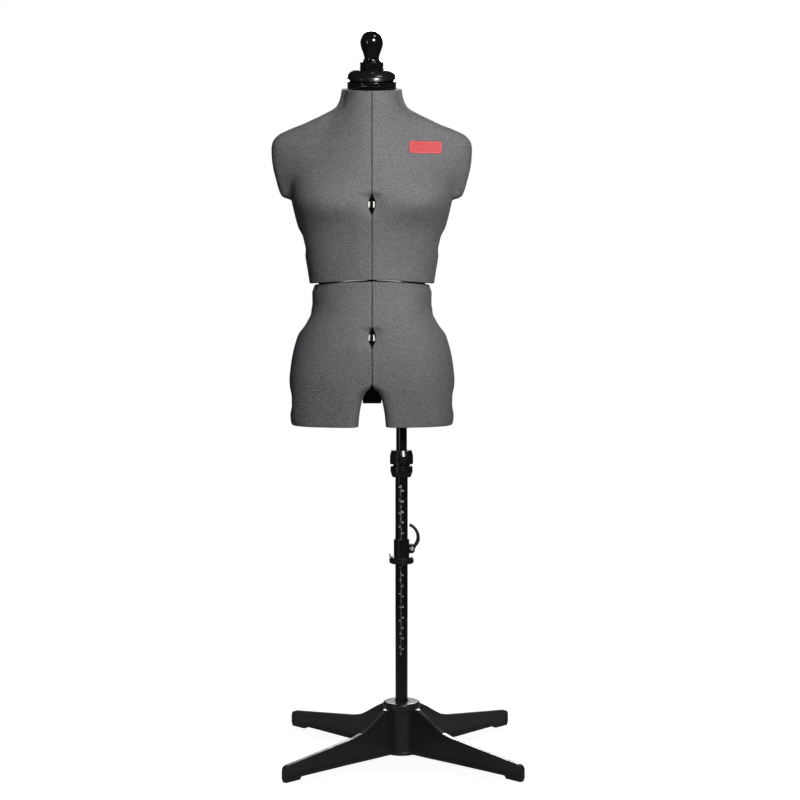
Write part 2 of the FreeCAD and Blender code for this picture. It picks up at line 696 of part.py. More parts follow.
# ---------------------------------------------------------------- adjusters, along +X before turning
def dial():
    """Thumb wheel with a notched edge on a screw that runs along Y."""
    wheel = Part.makeCylinder(DIAL_R, DIAL_THICK, V(0, -DIAL_THICK / 2, 0), V(0, 1, 0))
    grip = []
    for i in range(DIAL_NOTCHES):
        angle = 2 * math.pi * i / DIAL_NOTCHES
        grip.append(cross_rod(0.9, (DIAL_R * math.cos(angle), 0, DIAL_R * math.sin(angle)), DIAL_THICK))
    wheel = wheel.cut(Part.makeCompound(grip))
    return wheel.fuse(cross_rod(SCREW_R, (0, 0, 0), SCREW_HALF))


def yoke():
    """Bar behind the wheel with an ear at each end that holds the screw."""
    back = -DIAL_R - YOKE_GAP
    bar = block(back - YOKE_BAR, back, -EAR_FAR, EAR_FAR, -EAR_R, EAR_R)
    ears = []
    for side in (-1, 1):
        near = min(side * EAR_NEAR, side * EAR_FAR)
        ear = block(back - YOKE_BAR, 0, near, near + EAR_FAR - EAR_NEAR, -EAR_R, EAR_R)
        nose = Part.makeCylinder(EAR_R, EAR_FAR - EAR_NEAR, V(0, near, 0), V(0, 1, 0))
        ears += [ear, nose]
    return bar.fuse(ears).cut(cross_rod(SCREW_R + RUNNING, (0, 0, 0), EAR_FAR + 2))


def nut(side, foot):
    """Nut block on one side of the wheel, reaching foot out towards the shell wall."""
    near = min(side * NUT_NEAR, side * NUT_FAR)
    body = block(-NUT_BACK, foot, near, near + NUT_FAR - NUT_NEAR, -NUT_HALF_H, NUT_HALF_H)
    return body.cut(cross_rod(SCREW_R + RUNNING, (0, 0, 0), NUT_FAR + 5))


def seam_point(direction, offset, z, lower, inset):
    """Distance from the body's axis of the wall at a share offset along a quarter from its seam, and
    how far to the side of the seam that is."""
    across = direction in ("left", "right")
    point = lower_point if lower else upper_point
    x, y, _ = point(offset if across else 1.0 - offset, z, direction != "back", inset)
    return (x, y) if across else (y, x)


def wheel_radius(direction, z, lower):
    """Distance of an adjuster's screw from the body's axis: as far out as its rim stays DIAL_PROUD
    above the floor of its hollow all the way up and down the window."""
    reach = []
    for step in range(-4, 5):
        turn = math.radians(15.0 * step)
        wall, _ = seam_point(direction, 0.0, z + DIAL_R * math.sin(turn), lower, 0.0)
        reach.append(wall - DIAL_R * math.cos(turn))
    return min(reach) + DIAL_PROUD


def nut_foot(direction, z, lower):
    """How far a nut block reaches out from its screw: just clear of the wall beside the window."""
    reach = []
    for level in (z - NUT_HALF_H, z, z + NUT_HALF_H):
        offset = 0.0
        aside = 0.0
        while aside < NUT_FAR + 1.0:
            wall, aside = seam_point(direction, offset, level, lower, WALL)
            reach.append(wall)
            offset += 0.01
    return min(reach) - NUT_CLEAR - wheel_radius(direction, z, lower)


TURN = {"right": 0.0, "back": 90.0, "left": 180.0, "front": 270.0}


def wheels_of(direction, lower):
    """Heights of the adjusters on one seam of one section."""
    side = direction in ("left", "right")
    if lower:
        return LOWER_SIDE if side else LOWER_CENTRE
    return UPPER_SIDE if side else UPPER_CENTRE


def arm(direction, lower):
    """Sliding bar with a yoke for each wheel of its seam, along +X before it is turned."""
    levels = wheels_of(direction, lower)
    spots = [(wheel_radius(direction, z, lower), z) for z in levels]
    back = DIAL_R + YOKE_GAP + YOKE_BAR
    first, level = spots[0]
    body = block(ARM_ROOT, first - back + 1, -ARM_W / 2, ARM_W / 2, level - ARM_H / 2, level + ARM_H / 2)
    pieces = []
    for radius, z in spots:
        frame = yoke()
        frame.translate(V(radius, 0, z))
        pieces.append(frame)
    if len(spots) > 1:
        far, low = spots[1]
        strut = [(first - back, level), (first - back + YOKE_BAR, level), (far - back + YOKE_BAR, low),
                 (far - back, low)]
        pieces.append(plate_xz(strut, -6.0, 6.0))
    return placed(body.fuse(pieces), TURN[direction])


def placed_dial(direction, z, lower):
    wheel = dial()
    wheel.translate(V(wheel_radius(direction, z, lower), 0, z))
    return placed(wheel, TURN[direction])


def nuts(x_side, y_side, lower):
    """The nut blocks that one shell carries, one beside each wheel on its two seams."""
    blocks = []
    for direction, side in ((x_side, y_side), (y_side, x_side)):
        turn = TURN[direction]
        for z in wheels_of(direction, lower):
            # which way along the screw this shell lies, in the arm's own frame
            ahead = math.radians(turn + 90.0)
            toward = math.radians(TURN[side])
            sign = 1 if math.cos(toward - ahead) > 0 else -1
            piece = nut(sign, nut_foot(direction, z, lower))
            piece.translate(V(wheel_radius(direction, z, lower), 0, z))
            blocks.append(placed(piece, turn))
    return Part.makeCompound(blocks)


# ---------------------------------------------------------------- neck
def leaned(shape):
    """Tip a part of the crown forward and set it on the body's axis."""
    out = shape.copy()
    out.rotate(V(0, 0, 0), V(1, 0, 0), CROWN_TILT)
    out.translate(V(BODY_X, 0, CROWN_Z))
    return out


def neck_band(x_sign, front):
    """A quarter of the smooth band that stands out of the neck under the cap."""
    band = ring(BAND_R, BAND_R - BAND_WALL, BAND_LOW, BAND_TOP_MIDDLE)
    far = 2 * BAND_R
    drop = (BAND_TOP_MIDDLE - BAND_TOP_SIDE) / BAND_R
    for side in (-1, 1):
        over = [(0, BAND_TOP_SIDE), (side * far, BAND_TOP_SIDE + drop * far), (side * far, far), (0, far)]
        corners = [V(-far, y, z) for y, z in over]
        band = band.cut(Part.Face(Part.makePolygon(corners + corners[:1])).extrude(V(2 * far, 0, 0)))
    x0, x1 = (SEAM, far) if x_sign > 0 else (-far, -SEAM)
    y0, y1 = (-far, -SEAM) if front else (SEAM, far)
    return leaned(band.common(block(x0, x1, y0, y1, 2 * BAND_LOW, 0)))


def neck_cap():
    """Domed cap with a thin flange, a dished top, a spigot inside the band and a column socket."""
    rise = Part.Arc(V(DOME_R, 0, 0), V(DOME_TURN_R, 0, DOME_TURN_H), V(DOME_CROWN_R, 0, DOME_H)).toShape()
    floor = DOME_H - DISH_DEPTH
    under = [V(DOME_CROWN_R, 0, DOME_H), V(DISH_R, 0, floor), V(0, 0, floor), V(0, 0, -FLANGE_H - SPIGOT_H),
             V(SPIGOT_R, 0, -FLANGE_H - SPIGOT_H), V(SPIGOT_R, 0, -FLANGE_H), V(FLANGE_R, 0, -FLANGE_H),
             V(FLANGE_R, 0, 0), V(DOME_R, 0, 0)]
    profile = Part.Wire([rise] + [Part.makeLine(a, b) for a, b in zip(under, under[1:])])
    cap = Part.Face(profile).revolve(V(0, 0, 0), Z_AXIS, 360)
    cap = cap.fuse(cylinder(15.0, -44.0, -FLANGE_H - SPIGOT_H + 1))
    cap = cap.cut(cylinder(KNOB_STUD_R + RUNNING, 0.0, DOME_H + 1))
    cap = leaned(cap)
    return cap.cut(cylinder(UPPER_COLUMN_R + 0.02, CROWN_Z - 60.0, UPPER_COLUMN_TOP + 0.2, BODY_X))


def neck_knob():
    """Turned hanging knob: stud, eight-sided block, waist and ball in one."""
    low = DOME_H - DISH_DEPTH + 0.3
    corner = KNOB_BLOCK / math.cos(math.pi / 8)
    points = []
    for i in range(9):
        angle = math.pi / 8 + i * math.pi / 4
        points.append(V(corner * math.cos(angle), corner * math.sin(angle), low))
    base = Part.Face(Part.makePolygon(points)).extrude(V(0, 0, KNOB_BLOCK_TOP - low))
    shoulder = Part.makeCone(corner + 0.5, corner - 2.5, 3.0, V(0, 0, KNOB_BLOCK_TOP - 3.0))
    base = base.common(cylinder(corner + 1, low, KNOB_BLOCK_TOP - 3.0).fuse(shoulder))
    stalk = turned([(0, 0.5), (KNOB_STUD_R, 0.5), (KNOB_STUD_R, KNOB_BLOCK_TOP - 1),
                    (20.5, KNOB_BLOCK_TOP - 1), (20.0, KNOB_BLOCK_TOP), (16.0, KNOB_BLOCK_TOP + 2.2),
                    (KNOB_WAIST_R, KNOB_BLOCK_TOP + 5.0), (KNOB_WAIST_R + 0.8, KNOB_BLOCK_TOP + 8.5),
                    (KNOB_BALL_R * 0.94, KNOB_BALL_CENTRE - KNOB_BALL_R * 0.34),
                    (0, KNOB_BALL_CENTRE - KNOB_BALL_R * 0.34)])
    ball = Part.makeSphere(KNOB_BALL_R, V(0, 0, KNOB_BALL_CENTRE))
    return leaned(base.fuse([stalk, ball]))


# ---------------------------------------------------------------- the whole form
def body_section(parts, section, lower):
    """Four shells with their nuts, four sliding arms and the thumb wheels of one section."""
    point = lower_point if lower else upper_point
    rows = heights(HEM, LOWER_TOP, LOWER_ROW) if lower else heights(WAIST_TOP, NECK_EDGE, UPPER_ROW)
    for y_side in ("front", "back"):
        for x_side in ("left", "right"):
            x_sign = 1 if x_side == "right" else -1
            shell = shell_solid(point, rows, COLUMNS, x_sign, y_side == "front")
            if not lower:
                shell = Part.makeCompound([shell, neck_band(x_sign, y_side == "front")])
            name = section + "_" + y_side + "_" + x_side
            parts[name + "_shell"] = shell
            parts[name + "_nuts"] = nuts(x_side, y_side, lower)
    for direction in TURN:
        parts[section + "_" + direction + "_arm"] = arm(direction, lower)
        for z in wheels_of(direction, lower):
            region = "thigh" if z == THIGH_DIAL_Z else section
            parts[region + "_" + direction + "_dial"] = placed_dial(direction, z, lower)


def dress_form():
    parts = {
        "base_hub": base_hub(),
        "outer_tube": outer_tube(),
        "collar_body": collar_body(),
        "collar_collet": collar_collet(),
        "collar_nut": collar_nut(),
        "inner_tube": inner_tube(),
        "hem_slider": hem_slider(),
        "hem_lever": hem_lever(),
        "hem_lever_pin": hem_lever_pin(),
        "hem_ring": hem_ring(),
        "hem_clip": hem_clip(),
        "offset_bracket": offset_bracket(),
        "bracket_screws": bracket_screws(),
        "lower_column": lower_column(),
        "lower_guide_block": guide_cross(SIDE_HIP_DIAL_Z, HIP_DIAL_Z, COLUMN_R + 0.02),
        "waist_plate": waist_plate(),
        "upper_column": upper_column(),
        "upper_guide_blocks": guide_cross(RIB_DIAL_Z, BUST_DIAL_Z, UPPER_COLUMN_R + 0.02),
        "neck_cap": neck_cap(),
        "neck_knob": neck_knob(),
    }
    legs = (("front_left", 225.0), ("front_right", 315.0), ("back_right", 45.0), ("back_left", 135.0))
    for name, angle in legs:
        parts[name + "_leg"] = placed(leg(), angle, 0.0)
    body_section(parts, "lower", True)
    body_section(parts, "upper", False)
    return parts


os.makedirs("parts", exist_ok=True)
for node, shape in dress_form().items():
    solids = shape.Solids
    if not shape.isValid() or not solids:
        raise ValueError("bad solid: " + node)
    if len(solids) == 1:
        shape = solids[0]
    shape = shape.scaled(GRADE)
    shape.exportStep("parts/" + node + ".step")
    print(node, len(solids), round(sum(s.Volume for s in solids) / 1000.0, 1), "cm3")
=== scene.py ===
"""Looks of an adjustable trouser dress form on its offset stand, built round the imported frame.

Shapes are worked out in the drawing units of the form's own curves, MM metres each, and become
metres when a mesh is made. The form faces -Y, left and right are as seen from the front.
"""
import math

import bmesh
import bpy
import numpy as np
from mathutils import Matrix, Vector


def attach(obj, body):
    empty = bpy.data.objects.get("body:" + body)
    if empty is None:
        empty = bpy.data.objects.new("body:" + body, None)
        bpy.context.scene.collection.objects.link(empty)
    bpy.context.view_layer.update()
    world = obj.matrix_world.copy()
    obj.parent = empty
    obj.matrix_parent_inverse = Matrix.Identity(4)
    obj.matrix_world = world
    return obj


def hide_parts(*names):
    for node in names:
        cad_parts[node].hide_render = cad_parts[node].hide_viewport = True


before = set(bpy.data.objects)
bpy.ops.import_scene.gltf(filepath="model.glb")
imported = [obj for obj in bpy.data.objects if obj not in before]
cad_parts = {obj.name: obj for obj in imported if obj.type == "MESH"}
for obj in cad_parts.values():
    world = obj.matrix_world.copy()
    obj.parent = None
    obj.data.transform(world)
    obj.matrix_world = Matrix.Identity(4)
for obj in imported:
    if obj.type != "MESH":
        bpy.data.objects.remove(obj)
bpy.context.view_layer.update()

MM = 0.00092  # metres to one drawing unit: the small size of the form

# ---- body, in drawing units ----
BODY_X = -60.0
SEAM = 0.3
WINDOW_HALF_W = 7.2
WINDOW_HALF_H = 23.0
POCKET_HALF_W = 38.0
POCKET_HALF_H = 25.0
POCKET_DEPTH = 5.0
DIMPLE_HALF_W = 32.0
DIMPLE_DEPTH = 6.5
DIMPLE_PEAK = 11.0
DIMPLE_TOP = 14.0
DIMPLE_TAIL = 46.0
WAIST_TOP = 964.5
WAIST_ARCH = 8.0
ARCH_FADE = 60.0
LOWER_TOP = 962.5
HEM = 678.5
LEG_AXIS = 85.0
THIGH_SLOT = 34.0
CROTCH = 758.0
NECK_EDGE = 1355.0
NECK_EDGE_TILT = 7.5
NECK_ROOT = 1312.0
CROWN_TILT = 14.0
CROWN_Z = 1378.5
EDGE_BLEND = 22.0
STUB_SQUARE = 3.2
STUB_BLEND = 13.0
STUB_FAIRING = 110.0
ARMPIT_Z = 1150.0
SHOULDER_ANGLE = 18.0
SHOULDER_SOFTENING = 32.0
BUST_ANGLE = 47.0
BUST_HALF_ANGLE = 40.0
BUST_Z = 1133.0
BUST_HALF_H = 68.0
BUST_RISE = 14.0
SEAT_ANGLE = 50.0
SEAT_HALF_ANGLE = 45.0
SEAT_Z = 800.0
SEAT_HALF_H = 95.0
SEAT_RISE = 8.0
CROTCH_ROUND = 14.0
CROTCH_FADE = 26.0
UPPER_CENTRE = [1121.0]
UPPER_SIDE = [1049.0]
LOWER_CENTRE = [858.0]
LOWER_SIDE = [888.0, 728.0]

# ---- cloth and panel ----
CLOTH = 2.2
WALL = 5.0
ROLL = 2.0
ROW_STEP = 2.4
QUARTER_GIRTH = 215.0
TURN_IN = 9.0
PANEL_IN = 8.0
PANEL_FRONT = CLOTH + 0.05
PANEL_BACK = WALL - 0.1

# ---- neck, measured along its leaning axis from the cap flange's upper face ----
BAND_R = 49.0
BAND_WALL = 3.4
BAND_LOW = -32.0
BAND_TOP_SIDE = -7.4
BAND_TOP_MIDDLE = -4.3
BAND_EDGE = 0.9
STUD_X = 14.5
STUD_LEVEL = -12.2
FLANGE_H = 2.0
FLANGE_R = 51.2
DOME_R = 48.5
DISH_FLOOR = 12.3
SPIGOT_R = 45.3
SPIGOT_LOW = -14.0
SOCKET_R = 15.0
SOCKET_LOW = -44.0
UPPER_COLUMN_R = 10.1
KNOB_BLOCK = 23.2
KNOB_BLOCK_TOP = 32.4
KNOB_WAIST_LOW = 32.2
KNOB_BALL_R = 22.8
KNOB_BALL_CENTRE = 69.8

# ---- label and printed scale ----
LABEL_X = 106.0
LABEL_Z = 1234.6
LABEL_HALF_W = 32.5
LABEL_HALF_H = 12.5
LABEL_CORNER = 5.0
LABEL_OUT = 1.1
STITCH_INSET = 2.4
STITCH_STEP = 2.6
TUBE_R = 12.7
INCH = 25.4 * 0.001 / MM
CENTIMETRE = 10.0 * 0.001 / MM
SCALE_LINE_X = -1.2
SCALE_LOW = 204.0
SCALE_HIGH = 557.0
INK_OUT = 0.09
INK_IN = 0.02
DIGIT_H = 3.6


# ---------------------------------------------------------------- curves and blends
def smooth_curve(points):
    """Monotone cubic through (position, value) points, for arrays: Hermite pieces whose tangents
    are weighted harmonic means of the slopes on both sides, and 0 where the slope changes sign."""
    xs, ys = np.array(points, float).T
    step = np.diff(xs)
    slope = np.diff(ys) / step
    tangent = np.zeros_like(ys)
    tangent[0] = slope[0]
    tangent[-1] = slope[-1]
    w1 = 2 * step[1:] + step[:-1]
    w2 = step[1:] + 2 * step[:-1]
    rising = slope[:-1] * slope[1:] > 0
    before = np.where(rising, slope[:-1], 1.0)
    after = np.where(rising, slope[1:], 1.0)
    tangent[1:-1] = np.where(rising, (w1 + w2) / (w1 / before + w2 / after), 0.0)

    def value(x):
        x = np.clip(x, xs[0], xs[-1])
        i = np.clip(np.searchsorted(xs, x, side="right") - 1, 0, len(xs) - 2)
        t = (x - xs[i]) / step[i]
        ends = ys[i] * (1 + 2 * t) * (1 - t) ** 2 + ys[i + 1] * t * t * (3 - 2 * t)
        bends = tangent[i] * t * (1 - t) ** 2 + tangent[i + 1] * t * t * (t - 1)
        return ends + bends * step[i]

    return value


def smooth_max(a, b, reach):
    """The larger of a and b, rounded where they are within reach of each other."""
    near = np.maximum(reach - np.abs(a - b), 0.0) / reach
    return np.maximum(a, b) + near * near * reach * 0.25


def hump(x, half):
    """1 at x = 0, falling as a squared cosine to 0 at x = +-half."""
    return np.where(np.abs(x) < half, np.cos(0.5 * np.pi * x / half) ** 2, 0.0)


UP_WIDTH = smooth_curve([(960, 125.3), (980, 128.4), (996, 130.8), (1012, 133.6), (1028, 135.6),
                         (1044, 139.4), (1060, 143), (1077, 148.6), (1113, 158), (1140, 163),
                         (1180, 164), (1215, 160), (1245, 148), (1268, 132), (1290, 110.5),
                         (1303, 87.5), (1313, 71.2), (1323, 62.6), (1333, 58.4), (1345, 55.8),
                         (1360, 54.6)])
UP_FRONT = smooth_curve([(960, 93), (1000, 94), (1040, 98), (1080, 107), (1121, 116), (1150, 112),
                         (1200, 97), (1240, 84), (1270, 73), (1300, 61), (1320, 54), (1340, 48.5),
                         (1360, 46.2)])
UP_BACK = smooth_curve([(960, 88), (1000, 91), (1040, 97), (1100, 105), (1160, 112), (1200, 112),
                        (1240, 104), (1270, 92), (1300, 78), (1320, 68), (1340, 61),
                        (1360, 56.5)])
UP_SQUARE = smooth_curve([(960, 2.3), (1060, 2.4), (1120, 2.6), (1180, 2.5), (1260, 2.2),
                          (1300, 2.0), (1360, 2.0)])
# Half reach and half thickness of the arm stubs by height.
STUB_REACH = smooth_curve([(1100, 80), (1122, 112), (1131, 151), (1139, 180), (1153, 187.4),
                           (1173, 193), (1193, 198), (1213, 201), (1233, 202), (1245, 200.5),
                           (1254, 196), (1263, 187), (1273, 167), (1283, 142), (1293, 115),
                           (1303, 88), (1320, 53), (1360, 40)])
STUB_DEPTH = smooth_curve([(1120, 30), (1145, 42), (1195, 53), (1235, 53), (1262, 48), (1285, 48),
                           (1303, 47), (1360, 40)])
# The same for the lower body, and half the gap between the thighs.
LOW_WIDTH = smooth_curve([(672, 159), (682, 164.2), (694, 166), (740, 166.5), (772, 167.6),
                          (787, 166.3), (807, 163.7), (827, 160), (848, 154.2), (868, 147),
                          (888, 135.2), (909, 124.3), (924, 120.7), (947, 121), (954, 118.6),
                          (963, 115.8)])
LOW_FRONT = smooth_curve([(672, 92), (720, 96), (770, 102), (820, 104), (870, 102), (910, 96),
                          (945, 91), (963, 90)])
LOW_BACK = smooth_curve([(672, 96), (720, 106), (770, 118), (810, 121), (850, 114), (890, 100),
                         (925, 90), (963, 86)])
LOW_SQUARE = smooth_curve([(672, 2.7), (760, 2.6), (850, 2.4), (963, 2.3)])
THIGH_GAP = smooth_curve([(672, 28), (695, 26), (711, 24), (732, 19.5), (746, 14), (754, 7),
                          (758, 0), (766, -16), (776, -45)])


# ---------------------------------------------------------------- the form's surfaces
def pocket(along, z, centres):
    """Depth of the pressed hollows round the adjusters: a flat-topped hump in height times a hump
    along the girth."""
    depth = 0.0
    for centre in centres:
        rise = hump(z - centre, POCKET_HALF_H * 1.25)
        flat = np.minimum(1.0, 1.3 * rise)
        depth = depth + POCKET_DEPTH * flat * hump(along, POCKET_HALF_W * 1.2)
    return depth


def dimple(along, z, centres):
    """Depth of the hollows on the centre seams: a hump in height, steep above its peak and running
    out below it, times a hump along the girth."""
    depth = 0.0
    for centre in centres:
        above = z - centre - DIMPLE_PEAK
        rise = hump(above, np.where(above > 0, DIMPLE_TOP, DIMPLE_TAIL))
        depth = depth + DIMPLE_DEPTH * rise * hump(along, DIMPLE_HALF_W)
    return depth


def notch(z, centres):
    """Half width of the seam gap, opening into a lens-shaped window at each adjuster."""
    gap = SEAM
    for centre in centres:
        gap = gap + (WINDOW_HALF_W - SEAM) * hump(z - centre, WINDOW_HALF_H) ** 0.75
    return gap


def oval(angle, width, depth, power):
    """Polar radius of a superellipse: (|cos / width| ** n + |sin / depth| ** n) ** (-1 / n)."""
    across = np.abs(np.cos(angle)) / width
    along = np.abs(np.sin(angle)) / depth
    return (across ** power + along ** power) ** (-1.0 / power)


def upper_radius(angle, z, front, inset):
    """Radius of the upper body from its axis: the larger of a torso oval and an arm-stub oval,
    rounded into each other, with a swell for the bust, less the pockets and the inset."""
    depth = UP_FRONT(z) if front else UP_BACK(z)
    torso = oval(angle, UP_WIDTH(z), depth, UP_SQUARE(z))
    stub = oval(angle, STUB_REACH(z), STUB_DEPTH(z), STUB_SQUARE)
    softer = SHOULDER_SOFTENING * hump(np.degrees(angle) - SHOULDER_ANGLE, SHOULDER_ANGLE)
    softer = softer * np.clip((z - ARMPIT_Z) / ARCH_FADE, 0.0, 1.0)
    radius = smooth_max(torso, stub, STUB_BLEND + STUB_FAIRING * np.sin(angle) ** 2 + softer)
    if front:
        swell = hump(np.degrees(angle) - BUST_ANGLE, BUST_HALF_ANGLE)
        radius = radius + BUST_RISE * swell * hump(z - BUST_Z, BUST_HALF_H)
    across = radius * np.cos(angle)
    along = radius * np.sin(angle)
    radius = radius - dimple(across, z, UPPER_CENTRE) * np.sin(angle) ** 2
    radius = radius - pocket(along, z, UPPER_SIDE) * np.cos(angle) ** 2
    return radius - inset


def upper_slope(angle, z, front):
    """How much wider the wall is when measured level instead of square to the surface."""
    change = (upper_radius(angle, z + 2, front, 0) - upper_radius(angle, z - 2, front, 0)) / 4.0
    return np.sqrt(1.0 + np.minimum(change * change, 6.0))


def upper_point(part, z, front, inset):
    """Upper quarter, x and y positive: part 0 is the side seam and 1 the centre seam, each on its
    cut plane, and in between the angle runs evenly. The top rows shear up towards the nape."""
    side_gap = notch(z, UPPER_SIDE)
    centre_gap = notch(z, UPPER_CENTRE)
    start = np.zeros_like(z)
    finish = np.full_like(z, 0.5 * np.pi)
    for _ in range(7):
        wall = inset * upper_slope(start, z, front)
        start = np.arcsin(side_gap / upper_radius(start, z, front, wall))
        wall = inset * upper_slope(finish, z, front)
        finish = np.arccos(centre_gap / upper_radius(finish, z, front, wall))
    angle = start + (finish - start) * part
    radius = upper_radius(angle, z, front, inset * upper_slope(angle, z, front))
    x = radius * np.cos(angle)
    y = radius * np.sin(angle)
    tilt = math.tan(math.radians(NECK_EDGE_TILT))
    raised = np.clip((z - NECK_ROOT) / (NECK_EDGE - NECK_ROOT), 0.0, 1.0) ** 1.5
    lifted = (-y if front else y) * tilt * raised
    arched = WAIST_ARCH * np.sin(angle) ** 2 * np.maximum(0.0, 1.0 - (z - WAIST_TOP) / ARCH_FADE)
    return x, y, z + lifted + arched


def lower_level(x, y, z, front, inset):
    """Zero on a trouser quarter's surface, negative inside: a superellipse level rounded into the
    upright plane of the inner thigh."""
    depth = LOW_FRONT(z) if front else LOW_BACK(z)
    if not front:
        bearing = np.degrees(np.arctan2(y, np.maximum(x, 1e-6)))
        seat = hump(bearing - SEAT_ANGLE, SEAT_HALF_ANGLE) * hump(z - SEAT_Z, SEAT_HALF_H)
        depth = depth + SEAT_RISE * seat
    inset = inset + np.where(y > 50, dimple(x, z, LOWER_CENTRE), 0.0)
    inset = inset + np.where(x > 70, pocket(y, z, LOWER_SIDE), 0.0)
    width = LOW_WIDTH(z) - inset
    depth = depth - inset
    power = LOW_SQUARE(z)
    outer = ((np.abs(x) / width) ** power + (np.abs(y) / depth) ** power) ** (1.0 / power) - 1.0
    return smooth_max(outer * np.minimum(width, depth), THIGH_GAP(z) + inset - x, EDGE_BLEND)


def bisect(test, low, high):
    """Where test changes from negative to positive, found for whole arrays by halving."""
    for _ in range(30):
        middle = 0.5 * (low + high)
        inside = test(middle) < 0
        low = np.where(inside, middle, low)
        high = np.where(inside, high, middle)
    return 0.5 * (low + high)


def lower_point(part, z, front, inset):
    """Lower quarter, x and y positive, on rays from the leg's axis: part 0 is the side seam, 1 the
    centre seam and, below the crotch, the free edge inside the thigh."""
    ones = np.ones_like(z)
    side_gap = notch(z, LOWER_SIDE) * ones
    x_side = bisect(lambda x: lower_level(x, side_gap, z, front, inset),
                    LEG_AXIS * ones, 230.0 * ones)
    start = np.arctan2(side_gap, x_side - LEG_AXIS)
    centre_gap = notch(z, LOWER_CENTRE) * ones
    level_inset = inset if np.isscalar(inset) else inset[:, -1:]
    x_top = smooth_max(centre_gap, THIGH_GAP(z) + level_inset + 1.0, CROTCH_ROUND)
    y_top = bisect(lambda y: lower_level(x_top, y, z, front, inset), 10.0 * ones, 200.0 * ones)
    reach = LOW_FRONT(z) if front else LOW_BACK(z)
    drop = np.clip((CROTCH - z) / CROTCH_FADE, 0.0, 1.0)
    y_thigh = reach * 0.9 + (THIGH_SLOT - reach * 0.9) * drop
    x_thigh = LEG_AXIS - bisect(lambda s: lower_level(LEG_AXIS - s, y_thigh, z, front, inset),
                                0.0 * ones, 90.0 * ones)
    above = z >= CROTCH
    finish = np.arctan2(np.where(above, y_top, y_thigh), np.where(above, x_top, x_thigh) - LEG_AXIS)
    angle = start + (finish - start) * part
    cos_a = np.cos(angle)
    sin_a = np.sin(angle)
    radius = bisect(lambda r: lower_level(LEG_AXIS + r * cos_a, r * sin_a, z, front, inset),
                    ones * np.ones_like(angle), 210.0 * np.ones_like(angle))
    x = LEG_AXIS + radius * cos_a
    y = radius * sin_a
    fade = np.maximum(0.0, 1.0 - (LOWER_TOP - z) / ARCH_FADE)
    arched = WAIST_ARCH * y * y / (x * x + y * y) * fade
    return x, y, z + arched


# ---------------------------------------------------------------- meshes
def make_mesh(name, points, faces, smooth=True, uv=None):
    """A mesh object from an (n, 3) array in drawing units and an (m, 4) array of corner numbers,
    where a repeated last corner makes a triangle. uv gives one (u, v) per point."""
    quads = [tuple(f[:3]) if f[2] == f[3] else tuple(f) for f in faces.tolist()]
    mesh = bpy.data.meshes.new(name)
    mesh.from_pydata((np.asarray(points) * MM).tolist(), [], quads)
    mesh.polygons.foreach_set("use_smooth", np.full(len(quads), smooth))
    if uv is not None:
        layer = mesh.uv_layers.new(name="cloth")
        corner = np.empty(len(mesh.loops), np.int32)
        mesh.loops.foreach_get("vertex_index", corner)
        layer.data.foreach_set("uv", np.asarray(uv, np.float32)[corner].ravel())
    mesh.update()
    piece = bpy.data.objects.new(name, mesh)
    bpy.context.scene.collection.objects.link(piece)
    return piece


def grid_faces(rows, columns, first=0, around=False):
    """Corner numbers of the quads of a grid of points, row by row."""
    wide = columns if around else columns - 1
    r, c = np.meshgrid(np.arange(rows - 1), np.arange(wide), indexing="ij")
    after = (c + 1) % columns
    faces = np.stack([r * columns + c, r * columns + after, (r + 1) * columns + after,
                      (r + 1) * columns + c], -1)
    return faces.reshape(-1, 4) + first


def border_loop(rows, columns):
    """Point numbers round the edge of a grid, in order."""
    low = np.arange(columns)
    right = np.arange(1, rows) * columns + columns - 1
    top = np.arange(columns - 2, -1, -1) + (rows - 1) * columns
    left = np.arange(rows - 2, 0, -1) * columns
    return np.concatenate([low, right, top, left])


def wall_mesh(name, outer, inner, flip, uv=None):
    """A closed wall between two grids of points that match, joined along their four edges."""
    rows, columns = outer.shape[:2]
    count = rows * columns
    face_out = grid_faces(rows, columns)
    face_in = grid_faces(rows, columns, count)[:, ::-1]
    loop = border_loop(rows, columns)
    after = np.roll(loop, -1)
    rim = np.stack([loop, loop + count, after + count, after], -1)
    faces = np.concatenate([face_out, face_in, rim])
    if flip:
        faces = faces[:, ::-1]
    points = np.concatenate([outer.reshape(-1, 3), inner.reshape(-1, 3)])
    if uv is not None:
        flat = uv.reshape(-1, 2)
        uv = np.concatenate([flat, flat])
    return make_mesh(name, points, faces, uv=uv)


def turned(name, profile, segments=96, seat=None):
    """A surface of revolution: each (radius, height) of the profile swept round the upright axis.
    The profile runs from the bottom to the top outside, and closes on the axis or on itself. seat
    is a matrix that sets the result in its place."""
    profile = np.asarray(profile, float)
    angle = np.arange(segments) * 2 * np.pi / segments
    ring = np.stack([profile[:, :1] * np.cos(angle), profile[:, :1] * np.sin(angle),
                     profile[:, 1:] + 0 * angle], -1)
    closed = not np.allclose(profile[0], profile[-1]) and profile[0, 0] > 0
    if closed:
        ring = np.concatenate([ring, ring[:1]])
    points = ring.reshape(-1, 3)
    faces = grid_faces(len(ring), segments, around=True)
    if seat is not None:
        points = points @ np.array(seat.to_3x3()).T + np.array(seat.translation)
    piece = make_mesh(name, points, faces)
    tidy(piece)
    return piece


def tidy(piece):
    """Merge doubled points and make every face look outwards."""
    mesh = bmesh.new()
    mesh.from_mesh(piece.data)
    bmesh.ops.remove_doubles(mesh, verts=mesh.verts, dist=2e-6)
    bmesh.ops.dissolve_degenerate(mesh, edges=mesh.edges, dist=1e-7)
    bmesh.ops.recalc_face_normals(mesh, faces=mesh.faces)
    mesh.to_mesh(piece.data)
    mesh.free()


def arc(cx, cz, radius, start, stop, count=9):
    """Points of a round stretch of a profile, from start to stop degrees."""
    angle = np.radians(np.linspace(start, stop, count))
    return np.stack([cx + radius * np.cos(angle), cz + radius * np.sin(angle)], -1)


